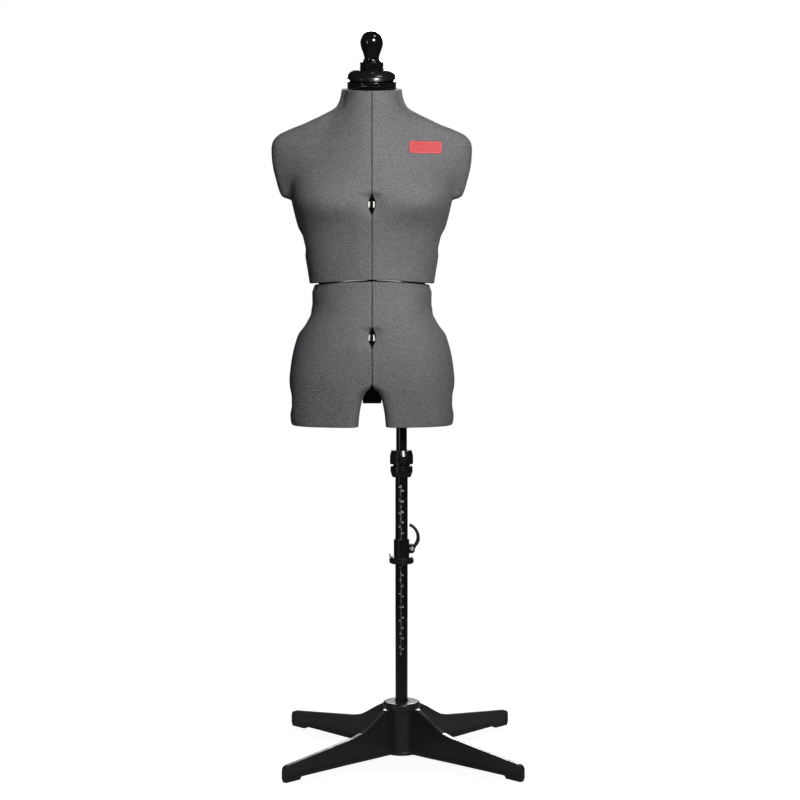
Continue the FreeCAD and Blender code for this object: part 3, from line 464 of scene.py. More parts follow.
def finish_edges(piece, width, segments, angle=35.0):
    """A small round on the sharp edges and shading that keeps flats flat."""
    bevel = piece.modifiers.new("edge", "BEVEL")
    bevel.width = width * MM
    bevel.segments = segments
    bevel.limit_method = "ANGLE"
    bevel.angle_limit = math.radians(angle)
    bevel.harden_normals = False
    for face in piece.data.polygons:
        face.use_smooth = True
    weighted = piece.modifiers.new("shade", "WEIGHTED_NORMAL")
    weighted.keep_sharp = True


# ---------------------------------------------------------------- materials
class Field:
    """A shader socket with arithmetic: an expression on fields adds its Math nodes."""

    def __init__(self, maker, socket):
        self.maker = maker
        self.socket = socket

    def _math(self, operation, *values):
        return self.maker.node("ShaderNodeMath", {"operation": operation}, *values)

    def __add__(self, other):
        return self._math("ADD", self, other)

    def __sub__(self, other):
        return self._math("SUBTRACT", self, other)

    def __mul__(self, other):
        return self._math("MULTIPLY", self, other)

    def __truediv__(self, other):
        return self._math("DIVIDE", self, other)

    def __radd__(self, other):
        return self._math("ADD", other, self)

    def __rsub__(self, other):
        return self._math("SUBTRACT", other, self)

    def __rmul__(self, other):
        return self._math("MULTIPLY", other, self)

    def __pow__(self, other):
        return self._math("POWER", self, other)

    def fract(self):
        return self._math("FRACT", self)

    def size(self):
        return self._math("ABSOLUTE", self)

    def cosine(self):
        return self._math("COSINE", self)

    def least(self, other):
        return self._math("MINIMUM", self, other)

    def most(self, other):
        return self._math("MAXIMUM", self, other)


class Finish:
    """One material: a Principled shader whose plain values are set on its own sockets."""

    def __init__(self, name, colour, roughness, **plain):
        self.material = bpy.data.materials.new(name)
        self.material.use_nodes = True
        self.tree = self.material.node_tree
        self.shader = self.tree.nodes["Principled BSDF"]
        self.shader.inputs["Base Color"].default_value = (*colour, 1.0)
        self.shader.inputs["Roughness"].default_value = roughness
        for key, value in plain.items():
            self.shader.inputs[key.replace("_", " ")].default_value = value
        self.material.diffuse_color = (*colour, 1.0)

    def node(self, kind, settings, *values, output=0, **named):
        """Add a node, set it up, then give its sockets values or links."""
        node = self.tree.nodes.new(kind)
        for key, value in settings.items():
            setattr(node, key, value)
        pairs = list(enumerate(values)) + [(key.replace("_", " "), v) for key, v in named.items()]
        for key, value in pairs:
            if isinstance(value, Field):
                self.tree.links.new(value.socket, node.inputs[key])
            elif value is not None:
                node.inputs[key].default_value = value
        return Field(self, node.outputs[output])

    def place(self):
        return self.node("ShaderNodeTexCoord", {}, output=3)

    def uv(self):
        return self.node("ShaderNodeUVMap", {"uv_map": "cloth"})

    def axis(self, vector, which):
        return self.node("ShaderNodeSeparateXYZ", {}, vector, output=which)

    def noise(self, vector, scale, detail=2.0, rough=0.5):
        return self.node("ShaderNodeTexNoise", {}, Vector=vector, Scale=scale, Detail=detail,
                         Roughness=rough)

    def blend(self, amount, first, second):
        """Colour between two, by a mask."""
        node = self.tree.nodes.new("ShaderNodeMix")
        node.data_type = "RGBA"
        for key, value in ((0, amount), (6, first), (7, second)):
            if isinstance(value, Field):
                self.tree.links.new(value.socket, node.inputs[key])
            else:
                node.inputs[key].default_value = value if key == 0 else (*value, 1.0)
        return Field(self, node.outputs[2])

    def feed(self, key, field):
        self.tree.links.new(field.socket, self.shader.inputs[key])

    def bump(self, height, strength, distance):
        field = self.node("ShaderNodeBump", {}, Strength=strength, Distance=distance, Height=height)
        self.feed("Normal", field)


def jersey():
    """Foam-backed knit: v-shaped stitches in courses 1.9 mm high, in a heathered grey with faint
    clouding. The grooves between stitches and between wales are painted darker, a painted shade,
    and every other course is raised and painted a shade lighter, a painted highlight."""
    m = Finish("knit_jersey", (0.115, 0.115, 0.119), 0.58, Sheen_Weight=0.05, Sheen_Roughness=0.35,
               Specular_IOR_Level=0.35)
    m.shader.inputs["Sheen Tint"].default_value = (0.80, 0.79, 0.82, 1.0)
    cloth = m.uv()
    across = m.axis(cloth, 0) / 0.0017
    place = m.place()
    drift = m.noise(place, 9.0, 2.0, 0.5)
    up = m.axis(cloth, 1) / 0.0019 + drift * 0.8
    leg = (across.fract() - 0.5).size()
    stitch = (up + leg * 0.8).fract()
    loop = ((stitch - 0.5).size() * 2.0) ** 2.0
    wale = (leg * 2.0) ** 3.0
    course = (up * math.pi).cosine()
    fibre = m.noise(place, 2600.0, 3.0, 0.7)
    heather = m.noise(place, 520.0, 4.0, 0.7)
    slub = m.noise(m.node("ShaderNodeMapping", {}, place, Scale=(60.0, 60.0, 330.0)), 1.0, 3.0, 0.6)
    cloud = m.noise(place, 6.0, 3.0, 0.55)
    height = fibre * 0.35 - loop * 0.5 - wale * 0.3 + course * 0.15
    tone = (heather - 0.5) * 2.2 + (slub - 0.5) * 0.2 + (cloud - 0.5) * 0.2
    # painted shade in the stitch and wale grooves, painted highlight on the raised courses
    tone = tone - loop * 0.22 - wale * 0.12 + course * 0.06
    shade = (tone + 0.58).most(0.0).least(1.0)
    m.feed("Base Color", m.blend(shade, (0.035, 0.032, 0.037), (0.20, 0.198, 0.204)))
    m.bump(height, 0.6, 0.0006)
    return m.material


def moulded(name, colour, roughness, grain, depth, coat=0.0):
    """Moulded plastic: fine grain, faint flow clouding and a few handling rubs."""
    m = Finish(name, colour, roughness, Specular_IOR_Level=0.5, Coat_Roughness=0.08,
               Coat_Weight=coat)
    place = m.place()
    fine = m.noise(place, grain, 3.0, 0.6)
    cloud = m.noise(place, 14.0, 3.0, 0.6)
    rub = m.noise(place, 90.0, 6.0, 0.75)
    rough = roughness + (cloud - 0.5) * 0.10 + ((rub - 0.62).most(0.0)) * 0.9
    m.feed("Roughness", rough.most(0.03).least(1.0))
    bright = tuple(c * 1.7 + 0.001 for c in colour)
    m.feed("Base Color", m.blend((cloud - 0.25).most(0.0).least(1.0), colour, bright))
    m.bump(fine, depth, 0.0002)
    return m.material


def powder_tube():
    """Gloss black powder coat with a faint orange peel and long drawing streaks."""
    m = Finish("pole_coat", (0.004, 0.004, 0.0042), 0.22, Specular_IOR_Level=0.5, Coat_Weight=0.35,
               Coat_Roughness=0.08)
    place = m.place()
    peel = m.noise(place, 700.0, 2.0, 0.5)
    drawn = m.node("ShaderNodeMapping", {}, place, Scale=(900.0, 900.0, 6.0))
    streak = m.noise(drawn, 1.0, 3.0, 0.6)
    m.feed("Roughness", 0.2 + (streak - 0.5) * 0.14)
    m.feed("Base Color", m.blend((streak - 0.3).most(0.0), (0.0028, 0.0027, 0.003),
                                 (0.011, 0.0105, 0.0115)))
    m.bump(peel, 0.08, 0.0002)
    return m.material


def nylon():
    """White nylon with a soft waxy gloss and slight yellowing."""
    m = Finish("white_nylon", (0.78, 0.77, 0.73), 0.38, Subsurface_Weight=0.15,
               Subsurface_Scale=0.002)
    place = m.place()
    cloud = m.noise(place, 120.0, 3.0, 0.6)
    m.feed("Base Color", m.blend(cloud, (0.72, 0.71, 0.66), (0.84, 0.83, 0.80)))
    m.bump(m.noise(place, 2500.0, 2.0, 0.5), 0.1, 0.0001)
    return m.material


def plated_steel():
    """Bright plated steel with turning marks."""
    m = Finish("plated_steel", (0.80, 0.79, 0.77), 0.42, Metallic=1.0)
    place = m.place()
    turned_along = m.node("ShaderNodeMapping", {}, place, Scale=(1.0, 0.05, 1.0))
    marks = m.noise(turned_along, 3000.0, 3.0, 0.6)
    m.feed("Roughness", 0.42 + (marks - 0.5) * 0.25)
    m.bump(marks, 0.15, 0.0001)
    return m.material


def label_cloth():
    """Woven red label with a twill face whose raised twill and weft ridges are painted lighter, a
    painted highlight, and a faint, uneven worn colour.
    """
    m = Finish("label_weave", (0.42, 0.03, 0.035), 0.55, Sheen_Weight=0.1, Sheen_Roughness=0.4)
    cloth = m.uv()
    across = m.axis(cloth, 0) / 0.00055
    up = m.axis(cloth, 1) / 0.00055
    twill = ((across + up).fract() - 0.5).size() * 2.0
    weft = ((up * 2.0).fract() - 0.5).size() * 2.0
    worn = m.noise(m.place(), 160.0, 4.0, 0.6)
    # painted highlight: raised twill and weft ridges painted lighter; worn adds random tone all
    # over
    tone = twill * 0.35 + weft * 0.15 + worn * 0.5
    m.feed("Base Color", m.blend(tone, (0.34, 0.015, 0.02), (0.56, 0.05, 0.055)))
    m.bump(twill + weft * 0.5, 0.4, 0.0002)
    return m.material


def thread(name, colour):
    """Spun sewing thread, mottled by its twist."""
    m = Finish(name, colour, 0.7, Sheen_Weight=0.2)
    twist = m.noise(m.place(), 1800.0, 2.0, 0.5)
    dark = tuple(c * 0.6 for c in colour)
    m.feed("Base Color", m.blend(twist, dark, colour))
    m.bump(twist, 0.3, 0.0002)
    return m.material


def ink():
    """Screen-printed white ink, slightly thin in places."""
    m = Finish("scale_ink", (0.74, 0.74, 0.72), 0.45)
    thin = m.noise(m.place(), 900.0, 3.0, 0.6)
    m.feed("Base Color", m.blend((thin - 0.35).most(0.0), (0.86, 0.86, 0.84), (0.60, 0.60, 0.59)))
    return m.material


JERSEY = jersey()
GLOSS = moulded("gloss_black", (0.0028, 0.0027, 0.003), 0.10, 900.0, 0.05, coat=0.6)
LEG_PLASTIC = moulded("leg_black", (0.024, 0.0205, 0.0245), 0.30, 1500.0, 0.18, coat=0.12)
SATIN = moulded("satin_black", (0.0045, 0.0042, 0.0046), 0.26, 1500.0, 0.15, coat=0.15)
MATTE = moulded("matt_black", (0.006, 0.0057, 0.0062), 0.45, 1800.0, 0.35)
PANEL = moulded("panel_black", (0.006, 0.006, 0.0062), 0.55, 1200.0, 0.3)
TUBE = powder_tube()
NYLON = nylon()
STEEL = plated_steel()
LABEL = label_cloth()
LABEL_THREAD = thread("label_thread", (0.70, 0.30, 0.28))
INK = ink()


def dress(piece, material):
    """Give a piece one material."""
    piece.data.materials.clear()
    piece.data.materials.append(material)


# ---------------------------------------------------------------- covers and panels
def fine_steps(length, step):
    """Places along an edge-to-edge line: close together for the rolled edges, even in between."""
    near = np.array([0.0, 0.3, 0.7, 1.2, 1.8, 2.5, 3.6, 5.2, 7.4, 9.6])
    count = max(4, int(round((length - 2 * near[-1]) / step)))
    middle = np.linspace(near[-1], length - near[-1], count + 1)[1:-1]
    return np.concatenate([near, middle, length - near[::-1]]) / length


def along(grid, axis):
    """Distance run along a grid of points from its first row or column."""
    step = np.linalg.norm(np.diff(grid, axis=axis), axis=-1)
    start = np.zeros_like(np.take(step, [0], axis=axis))
    return np.concatenate([start, np.cumsum(step, axis=axis)], axis=axis)


def edge_distance(grid):
    """Distance of every point of a grid from the nearest of its four edges."""
    across = along(grid, 1)
    up = along(grid, 0)
    across = np.minimum(across, across[:, -1:] - across)
    up = np.minimum(up, up[-1:] - up)
    return np.minimum(across, up)


def rolled(distance, radius):
    """How far a surface has dropped near its edge: a quarter circle of the given radius."""
    left = np.maximum(radius - distance, 0.0)
    return radius - np.sqrt(radius * radius - left * left)


def quarter(point, parts, z, front, x_sign, inset):
    """Grid of points of one quarter's surface in the form's own frame."""
    x, y, up = point(parts[None, :], z[:, None], front, inset)
    return np.stack([BODY_X + x_sign * x, -y if front else y, up + 0 * x], -1)


def corner_name(front, x_sign):
    """Which quarter of the body this is, such as front_left."""
    return ("front" if front else "back") + ("_right" if x_sign > 0 else "_left")


def shell_pieces(section, front, x_sign):
    """The cover and the panel of one shell. The cover is foam-backed cloth over the panel's face,
    rolled round its edge and turned in behind it; the panel is the moulding inside."""
    lower = section == "lower"
    point = lower_point if lower else upper_point
    low, high = (HEM, LOWER_TOP) if lower else (WAIST_TOP, NECK_EDGE)
    place = section + "_" + corner_name(front, x_sign)
    z = low + (high - low) * fine_steps(high - low, ROW_STEP)
    parts = fine_steps(QUARTER_GIRTH, ROW_STEP)
    face = quarter(point, parts, z, front, x_sign, 0.0)
    back = quarter(point, parts, z, front, x_sign, WALL)
    distance = edge_distance(face)[..., None]
    inward = (back - face) / WALL
    drop = rolled(distance, ROLL)
    outer = face + inward * drop
    depth = np.where(distance < TURN_IN, WALL - drop, CLOTH)
    inner = face + inward * depth
    girth = along(face, 1)
    rise = along(face, 0).mean(axis=1, keepdims=True) + 0 * girth
    uv = np.stack([(girth[:, -1:] - girth) * MM, rise * MM], -1)
    flip = (x_sign > 0) != front
    cover = wall_mesh(place + "_cover", outer, inner, flip, uv)
    dress(cover, JERSEY)
    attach(cover, place)
    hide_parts(place + "_shell")
    trim = PANEL_IN / QUARTER_GIRTH
    parts = np.linspace(trim, 1.0 - trim, 34)
    z = np.linspace(low + PANEL_IN, high - PANEL_IN, 64)
    face = quarter(point, parts, z, front, x_sign, 0.0)
    back = quarter(point, parts, z, front, x_sign, WALL)
    inward = (back - face) / WALL
    panel = wall_mesh(place + "_panel", face + inward * PANEL_FRONT,
                      face + inward * PANEL_BACK, flip)
    tidy(panel)
    dress(panel, PANEL)
    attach(panel, place)
    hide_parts(place + "_shell")


FORM_LEAN = (Matrix.Translation((BODY_X, 0, CROWN_Z))
             @ Matrix.Rotation(math.radians(CROWN_TILT), 4, "X"))


def lean(points):
    """Points of the crown's own frame, tipped forward and set on the body's axis."""
    return points @ np.array(FORM_LEAN.to_3x3()).T + np.array(FORM_LEAN.translation)


def band_quarter(front, x_sign):
    """A quarter of the gloss neck band: a ring wall with rounded edges."""
    corner = corner_name(front, x_sign)
    place = "upper_" + corner
    gap = SEAM / BAND_R
    angle = gap + (0.5 * np.pi - 2 * gap) * fine_steps(72.0, 2.4)
    rise = fine_steps(25.0, 3.0)
    a, t = np.meshgrid(angle, rise)
    top = BAND_TOP_SIDE + (BAND_TOP_MIDDLE - BAND_TOP_SIDE) * np.sin(a)
    t = BAND_LOW + (top - BAND_LOW) * t
    unit = np.stack([x_sign * np.cos(a), (-1 if front else 1) * np.sin(a), 0 * a], -1)
    up = np.stack([0 * t, 0 * t, t], -1)
    drop = rolled(edge_distance(unit * BAND_R + up), BAND_EDGE)[..., None]
    outer = lean(unit * (BAND_R - drop) + up)
    inner = lean(unit * (BAND_R - BAND_WALL + drop) + up)
    band = wall_mesh("neck_band_" + corner, outer, inner, (x_sign > 0) != front)
    dress(band, GLOSS)
    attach(band, place)
    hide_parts(place + "_shell")


def rounded_profile(points):
    """A finer line through (radius, height) points: a smooth curve of each over the run so far."""
    corner = np.array(points)
    run = np.concatenate([[0.0], np.cumsum(np.hypot(*np.diff(corner, axis=0).T))])
    fine = np.linspace(0.0, run[-1], 6 * len(points))
    radius = smooth_curve(list(zip(run, corner[:, 0])))(fine)
    height = smooth_curve(list(zip(run, corner[:, 1])))(fine)
    return np.stack([radius, height], -1).tolist()


def neck_cap():
    """Cap: a thin round-edged lip, a fillet, an upright side, a quarter round and a shallow dish,
    with a socket under it for the column's end."""
    lip = arc(FLANGE_R - 1.0, -1.0, 1.0, -90, 90).tolist()
    swell = [(DOME_R + 0.9, 0.1), (DOME_R + 0.2, 0.7), (48.4, 2.0), (47.7, 4.2), (46.4, 6.6),
             (44.3, 9.1), (41.4, 11.6), (37.9, 13.8), (34.0, 15.4), (30.6, 16.3), (28.4, 16.7)]
    dish = [(27.3, 16.6), (26.4, 15.9), (25.6, 14.6), (25.0, 13.1), (24.2, 12.4)]
    under = [(0.0, SPIGOT_LOW), (SPIGOT_R, SPIGOT_LOW), (SPIGOT_R, -FLANGE_H)]
    dome = rounded_profile(swell + dish) + [(0.0, DISH_FLOOR)]
    cap = turned("neck_cap_dome", under + lip + dome, 128, FORM_LEAN)
    dress(cap, SATIN)
    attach(cap, "upper_core")
    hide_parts("neck_cap")
    tube = [(UPPER_COLUMN_R, SOCKET_LOW), (SOCKET_R, SOCKET_LOW), (SOCKET_R, SPIGOT_LOW),
            (UPPER_COLUMN_R, SPIGOT_LOW), (UPPER_COLUMN_R, SOCKET_LOW)]
    stem = turned("neck_cap_socket", tube, 64, FORM_LEAN)
    dress(stem, MATTE)
    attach(stem, "upper_core")
    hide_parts("neck_cap")


def neck_knob():
    """Knob: an eight-sided block under a turned waist that swells into a ball. The waist is one
    smooth curve of radius over height that meets the ball at its widest."""
    swell = smooth_curve([(KNOB_WAIST_LOW, 20.4), (33.2, 19.2), (34.6, 16.7), (36.8, 15.1),
                          (39.6, 14.8), (42.7, 15.4), (49.8, 17.7), (56.9, 20.3), (63.0, 22.0),
                          (KNOB_BALL_CENTRE, KNOB_BALL_R)])
    t = np.linspace(KNOB_WAIST_LOW, KNOB_BALL_CENTRE, 60)
    waist = np.stack([swell(t), t], -1).tolist()
    ball = arc(0.0, KNOB_BALL_CENTRE, KNOB_BALL_R, 2, 90, 30)
    ball[-1, 0] = 0.0
    profile = [(0.0, 31.0), (20.2, 31.0)] + waist + ball.tolist()
    knob = turned("knob_ball", profile, 96, FORM_LEAN)
    dress(knob, GLOSS)
    angle = np.arange(8) * np.pi / 4 + np.pi / 8
    corner = KNOB_BLOCK / math.cos(math.pi / 8)
    rim = np.stack([corner * np.cos(angle), corner * np.sin(angle)], -1)
    levels = [(0.98, DISH_FLOOR + 0.3), (1.0, DISH_FLOOR + 0.9), (1.0, KNOB_BLOCK_TOP - 1.6),
              (0.93, KNOB_BLOCK_TOP)]
    rings = [np.concatenate([rim * grow, np.full((8, 1), level)], 1) for grow, level in levels]
    points = lean(np.concatenate(rings + [[[0, 0, levels[0][1]]], [[0, 0, KNOB_BLOCK_TOP]]]))
    sides = grid_faces(4, 8, around=True)
    i = np.arange(8)
    after = (i + 1) % 8
    low = np.stack([after, i, 0 * i + 32, 0 * i + 32], -1)
    high = np.stack([i + 24, after + 24, 0 * i + 33, 0 * i + 33], -1)
    block = make_mesh("knob_block", points, np.concatenate([sides, low, high]))
    tidy(block)
    finish_edges(block, 0.7, 3)
    dress(block, GLOSS)
    for piece in (knob, block):
        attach(piece, "neck_knob")
        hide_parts("neck_knob")


def neck_stud(x_sign):
    """Small domed rivet on the band beside its front split."""
    side = "right" if x_sign > 0 else "left"
    turn = math.asin(STUD_X / BAND_R) * x_sign
    head = arc(1.3, 0.5, 1.4, 0, 90).tolist()
    profile = [(0.0, -1.5), (2.7, -1.5), (2.7, 0.5)] + head + [(0.0, 2.05)]
    seat = (FORM_LEAN @ Matrix.Rotation(turn, 4, "Z")
            @ Matrix.Translation((0, -BAND_R, STUD_LEVEL))
            @ Matrix.Rotation(math.radians(90), 4, "X"))
    stud = turned("neck_stud_" + side, profile, 32, seat)
    dress(stud, GLOSS)
    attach(stud, "upper_front_" + side)


# ---------------------------------------------------------------- label and scale
def chest_point(x, z, out):
    """Point of the upper right front cover at x from the body's axis, raised by out: the angle is
    found by halving, because the wall's reach falls as the angle grows."""
    angle = bisect(lambda a: x - upper_radius(a, z, True, 0.0) * np.cos(a),
                   0.02 + 0 * x, 1.5 + 0 * x)
    radius = upper_radius(angle, z, True, -out)
    return np.stack([BODY_X + radius * np.cos(angle), -radius * np.sin(angle), z + 0 * radius], -1)


def woven_label():
    """A plain label: a thin rectangle with round corners laid on the chest."""
    w = LABEL_HALF_H * np.cos(np.linspace(np.pi, 0, 25))
    short = np.maximum(np.abs(w) - (LABEL_HALF_H - LABEL_CORNER), 0.0)
    half = LABEL_HALF_W - LABEL_CORNER + np.sqrt(LABEL_CORNER ** 2 - short ** 2)
    u = half[:, None] * np.sin(np.linspace(-0.5 * np.pi, 0.5 * np.pi, 49))[None, :]
    high = w[:, None] + 0 * u
    edge = rolled(np.minimum(half[:, None] - np.abs(u), LABEL_HALF_H - np.abs(high)) + 0.05, 0.7)
    outer = chest_point(LABEL_X + u, LABEL_Z + high, LABEL_OUT - edge)
    inner = chest_point(LABEL_X + u, LABEL_Z + high, -0.3 + 0 * u)
    uv = np.stack([u * MM, high * MM], -1)
    label = wall_mesh("woven_label", outer, inner, False, uv)
    tidy(label)
    dress(label, LABEL)
    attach(label, "upper_front_right")


def label_stitches():
    """Lock stitches round the label: small ellipsoids in a row along an inset rounded rectangle."""
    corner = LABEL_CORNER - STITCH_INSET
    w = LABEL_HALF_W - STITCH_INSET
    h = LABEL_HALF_H - STITCH_INSET
    cw = w - corner
    ch = h - corner
    runs = [2 * cw, 0.5 * np.pi * corner, 2 * ch, 0.5 * np.pi * corner] * 2
    total = sum(runs)
    count = int(total / STITCH_STEP)
    s = (np.arange(count) + 0.5) * total / count
    starts = np.cumsum([0] + runs)
    x = np.zeros(count)
    z = np.zeros(count)
    heading = np.zeros(count)
    anchors = [(-cw, h, 0), (cw, h, 0), (w, ch, -90), (w, -ch, -90),
               (cw, -h, 180), (-cw, -h, 180), (-w, -ch, 90), (-w, ch, 90)]
    centres = [(cw, ch), (cw, -ch), (-cw, -ch), (-cw, ch)]
    for i in range(8):
        on = (s >= starts[i]) & (s < starts[i + 1])
        t = s[on] - starts[i]
        ax, az, turn = anchors[i]
        if i % 2 == 0:
            x[on] = ax + t * math.cos(math.radians(turn))
            z[on] = az + t * math.sin(math.radians(turn))
            heading[on] = math.radians(turn)
        else:
            cx, cz = centres[i // 2]
            a = math.radians(90 - 90 * (i // 2)) - t / corner
            x[on] = cx + corner * np.cos(a)
            z[on] = cz + corner * np.sin(a)
            heading[on] = a - 0.5 * np.pi
    ring, seg = np.meshgrid(np.linspace(0, np.pi, 6), np.arange(8) * np.pi / 4, indexing="ij")
    long = 1.0 * np.cos(ring)
    wide = 0.45 * np.sin(ring) * np.cos(seg)
    tall = 0.40 * np.sin(ring) * np.sin(seg)
    c = np.cos(heading)[:, None, None]
    d = np.sin(heading)[:, None, None]
    px = x[:, None, None] + long * c - wide * d
    pz = z[:, None, None] + long * d + wide * c
    points = chest_point(LABEL_X + px, LABEL_Z + pz, LABEL_OUT + tall + 0 * px)
    faces = np.concatenate([grid_faces(6, 8, i * 48, around=True) for i in range(count)])
    thread_line = make_mesh("label_stitching", points.reshape(-1, 3), faces)
    tidy(thread_line)
    dress(thread_line, LABEL_THREAD)
    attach(thread_line, "upper_front_right")


def on_tube(x, z, out):
    """A flat drawing wrapped round the front of the outer pole: x runs along the girth."""
    angle = x / TUBE_R
    r = TUBE_R + out
    return np.stack([r * np.sin(angle), -r * np.cos(angle), z + 0 * angle], -1)


def ink_bar(x0, x1, z0, z1):
    """Points and faces of one printed stroke, a thin slab wrapped round the pole."""
    u, v = np.meshgrid(np.linspace(x0, x1, 5), np.array([z0, z1]))
    outer = on_tube(u, v, INK_OUT).reshape(-1, 3)
    inner = on_tube(u, v, INK_IN).reshape(-1, 3)
    loop = border_loop(2, 5)
    after = np.roll(loop, -1)
    rim = np.stack([loop, loop + 10, after + 10, after], -1)
    faces = np.concatenate([grid_faces(2, 5), grid_faces(2, 5, 10)[:, ::-1], rim])
    return np.concatenate([outer, inner]), faces


def digits(text, height):
    """Flat points and triangles of a number, its left end at 0 and its middle at height 0."""
    curve = bpy.data.curves.new("digits", "FONT")
    curve.body = text
    curve.size = height * 1.35
    curve.resolution_u = 2
    holder = bpy.data.objects.new("digits", curve)
    bpy.context.scene.collection.objects.link(holder)
    bpy.context.view_layer.update()
    graph = bpy.context.evaluated_depsgraph_get()
    mesh = bpy.data.meshes.new_from_object(holder.evaluated_get(graph))
    mesh.calc_loop_triangles()
    points = np.empty(len(mesh.vertices) * 3)
    mesh.vertices.foreach_get("co", points)
    corners = np.empty(len(mesh.loop_triangles) * 3, np.int32)
    mesh.loop_triangles.foreach_get("vertices", corners)
    bpy.data.objects.remove(holder)
    bpy.data.curves.remove(curve)
    bpy.data.meshes.remove(mesh)
    points = points.reshape(-1, 3)
    points = points - [points[:, 0].min(), 0.5 * (points[:, 1].min() + points[:, 1].max()), 0]
    return points, corners.reshape(-1, 3)


def height_scale():
    """The hem scale: a centre line with every second centimetre numbered on its right, every inch
    numbered on its left, and a short tick half way between the numbers."""
    strokes = [ink_bar(SCALE_LINE_X - 0.15, SCALE_LINE_X + 0.15, SCALE_LOW, SCALE_HIGH)]
    marks = []
    for side, unit, step in ((1, CENTIMETRE, 1), (-1, 0.5 * INCH, 2)):
        for i in range(math.ceil(SCALE_LOW / unit), math.floor(SCALE_HIGH / unit) + 1):
            z = i * unit
            if i % 2 == 0:
                marks.append((side, z, str(i // step)))
            else:
                ends = sorted((SCALE_LINE_X + side * 0.3, SCALE_LINE_X + side * 1.6))
                strokes.append(ink_bar(ends[0], ends[1], z - 0.22, z + 0.22))
    points = []
    faces = []
    count = 0
    for corner, quad in strokes:
        points.append(corner)
        faces.append(quad + count)
        count += len(corner)
    for side, z, text in marks:
        flat, triangles = digits(text, DIGIT_H)
        wide = flat[:, 0].max()
        x = flat[:, 0] + SCALE_LINE_X + (0.9 if side > 0 else -0.9 - wide)
        points.append(on_tube(x, z + flat[:, 1], INK_OUT))
        faces.append(np.concatenate([triangles, triangles[:, 2:]], 1) + count)
        count += len(flat)
    scale = make_mesh("printed_scale", np.concatenate(points), np.concatenate(faces), smooth=False)
    dress(scale, INK)
    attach(scale, "base")


# ---------------------------------------------------------------- build
for section in ("upper", "lower"):
    for front in (True, False):
        for x_sign in (-1, 1):
            shell_pieces(section, front, x_sign)
for front in (True, False):
    for x_sign in (-1, 1):
        band_quarter(front, x_sign)
for x_sign in (-1, 1):
    neck_stud(x_sign)
neck_cap()
neck_knob()
woven_label()
label_stitches()
height_scale()

# The first entry whose words are in a piece's name gives its material.
FINISHES = (("_shell", PANEL), ("_nuts", NYLON), ("_dial", GLOSS), ("_arm", MATTE),
            ("_guide_block", MATTE), ("_leg", LEG_PLASTIC), ("base_hub", LEG_PLASTIC),
            ("outer_tube", TUBE), ("inner_tube", TUBE), ("_column", TUBE), ("waist_plate", MATTE),
            ("neck_cap", MATTE), ("neck_knob", GLOSS), ("collar_", SATIN), ("hem_lever_pin", STEEL),
            ("bracket_screws", STEEL), ("hem_slider", SATIN), ("hem_", MATTE),
            ("offset_bracket", MATTE))
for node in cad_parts:
    finish = next(material for words, material in FINISHES if words in node)
    dress(bpy.data.objects[node], finish)

# ---------------------------------------------------------------- floor, light and camera
FLOOR_R = 1500.0
FLOOR_THICK = 20.0
floor_mesh = turned("studio_floor", [(0.0, -FLOOR_THICK), (FLOOR_R, -FLOOR_THICK),
                                     (FLOOR_R, 0.0), (0.0, 0.0)])
pale = Finish("studio_floor", (0.45, 0.45, 0.45), 0.7, Specular_IOR_Level=0.1,
              Emission_Strength=1.0)
# Painted glow: the floor glows white for the camera only, and a painted shade keeps the glow dimmer
# within about 0.6 m of the middle, under the stand.
seen = pale.node("ShaderNodeLightPath", {})
spot = pale.place()
away = pale.axis(spot, 0) ** 2.0 + pale.axis(spot, 1) ** 2.0
glow = seen * ((away * 3.0).least(1.0) * 0.16 + 0.84)
pale.feed("Emission Color", pale.blend(glow, (0.0, 0.0, 0.0), (1.0, 1.0, 1.0)))
dress(floor_mesh, pale.material)


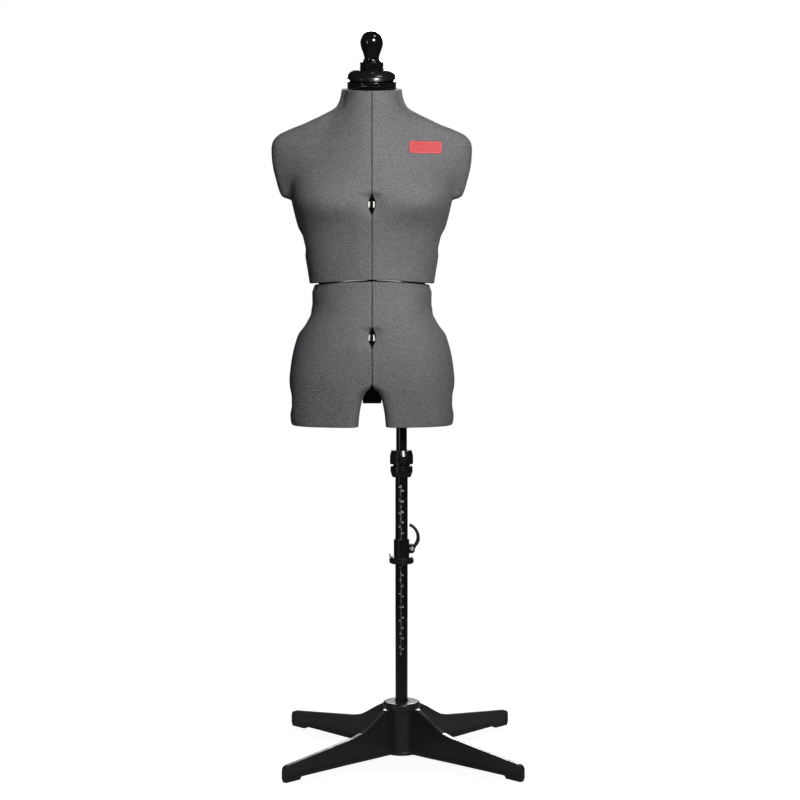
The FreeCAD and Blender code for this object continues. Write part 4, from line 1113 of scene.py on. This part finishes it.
def studio_world(seen, light):
    """A plain white room: as bright as seen behind the object, and a softer light on it."""
    world = bpy.data.worlds.new("studio")
    world.use_nodes = True
    tree = world.node_tree
    sky = tree.nodes["Background"]
    sky.inputs["Color"].default_value = (1.0, 0.84, 1.0, 1.0)
    sky.inputs["Strength"].default_value = light
    backdrop = tree.nodes.new("ShaderNodeBackground")
    backdrop.inputs["Color"].default_value = (1.0, 1.0, 1.0, 1.0)
    backdrop.inputs["Strength"].default_value = seen
    mix = tree.nodes.new("ShaderNodeMixShader")
    rays = tree.nodes.new("ShaderNodeLightPath")
    tree.links.new(rays.outputs["Is Camera Ray"], mix.inputs[0])
    tree.links.new(sky.outputs[0], mix.inputs[1])
    tree.links.new(backdrop.outputs[0], mix.inputs[2])
    tree.links.new(mix.outputs[0], tree.nodes["World Output"].inputs["Surface"])
    bpy.context.scene.world = world


def soft_light(name, place, target, size, power, green=1.0, spread=180.0):
    """A soft box at place, turned to the target, out of the camera's sight. size is in metres,
    power in watts and spread in degrees."""
    light = bpy.data.lights.new(name, "AREA")
    light.color = (1.0, green, 1.0)
    light.shape = "RECTANGLE"
    light.size = size[0]
    light.size_y = size[1]
    light.energy = power
    light.spread = math.radians(spread)
    holder = bpy.data.objects.new(name, light)
    holder.location = place
    aim = Vector(target) - Vector(place)
    holder.rotation_euler = aim.to_track_quat("-Z", "Y").to_euler()
    holder.visible_camera = False
    bpy.context.scene.collection.objects.link(holder)


studio_world(1.0, 0.03)
soft_light("key", (1.15, -3.0, 2.25), (0.0, 0.0, 1.17), (1.0, 1.0), 9.9, 1.0, 40.0)
soft_light("side", (-2.5, -2.3, 0.95), (-0.03, 0.0, 0.8), (0.35, 1.5), 9.0, 0.86)
soft_light("top", (1.0, -1.0, 3.4), (-0.05, 0.0, 1.2), (0.5, 0.5), 10.0)
soft_light("back", (0.2, 3.2, 2.3), (0.0, 0.0, 0.95), (1.2, 1.2), 9.5, 1.0, 50.0)

lens = bpy.data.cameras.new("camera")
lens.lens = 86.0
lens.sensor_width = 36.0
lens.clip_end = 100.0
camera = bpy.data.objects.new("camera", lens)
camera.location = Vector((-60.0, -3880.0, 1010.0)) * MM
camera.rotation_euler = (math.radians(90.0 - 4.16), 0.0, math.radians(-0.84))
bpy.context.scene.collection.objects.link(camera)
bpy.context.scene.camera = camera
bpy.context.scene.view_settings.view_transform = "Standard"
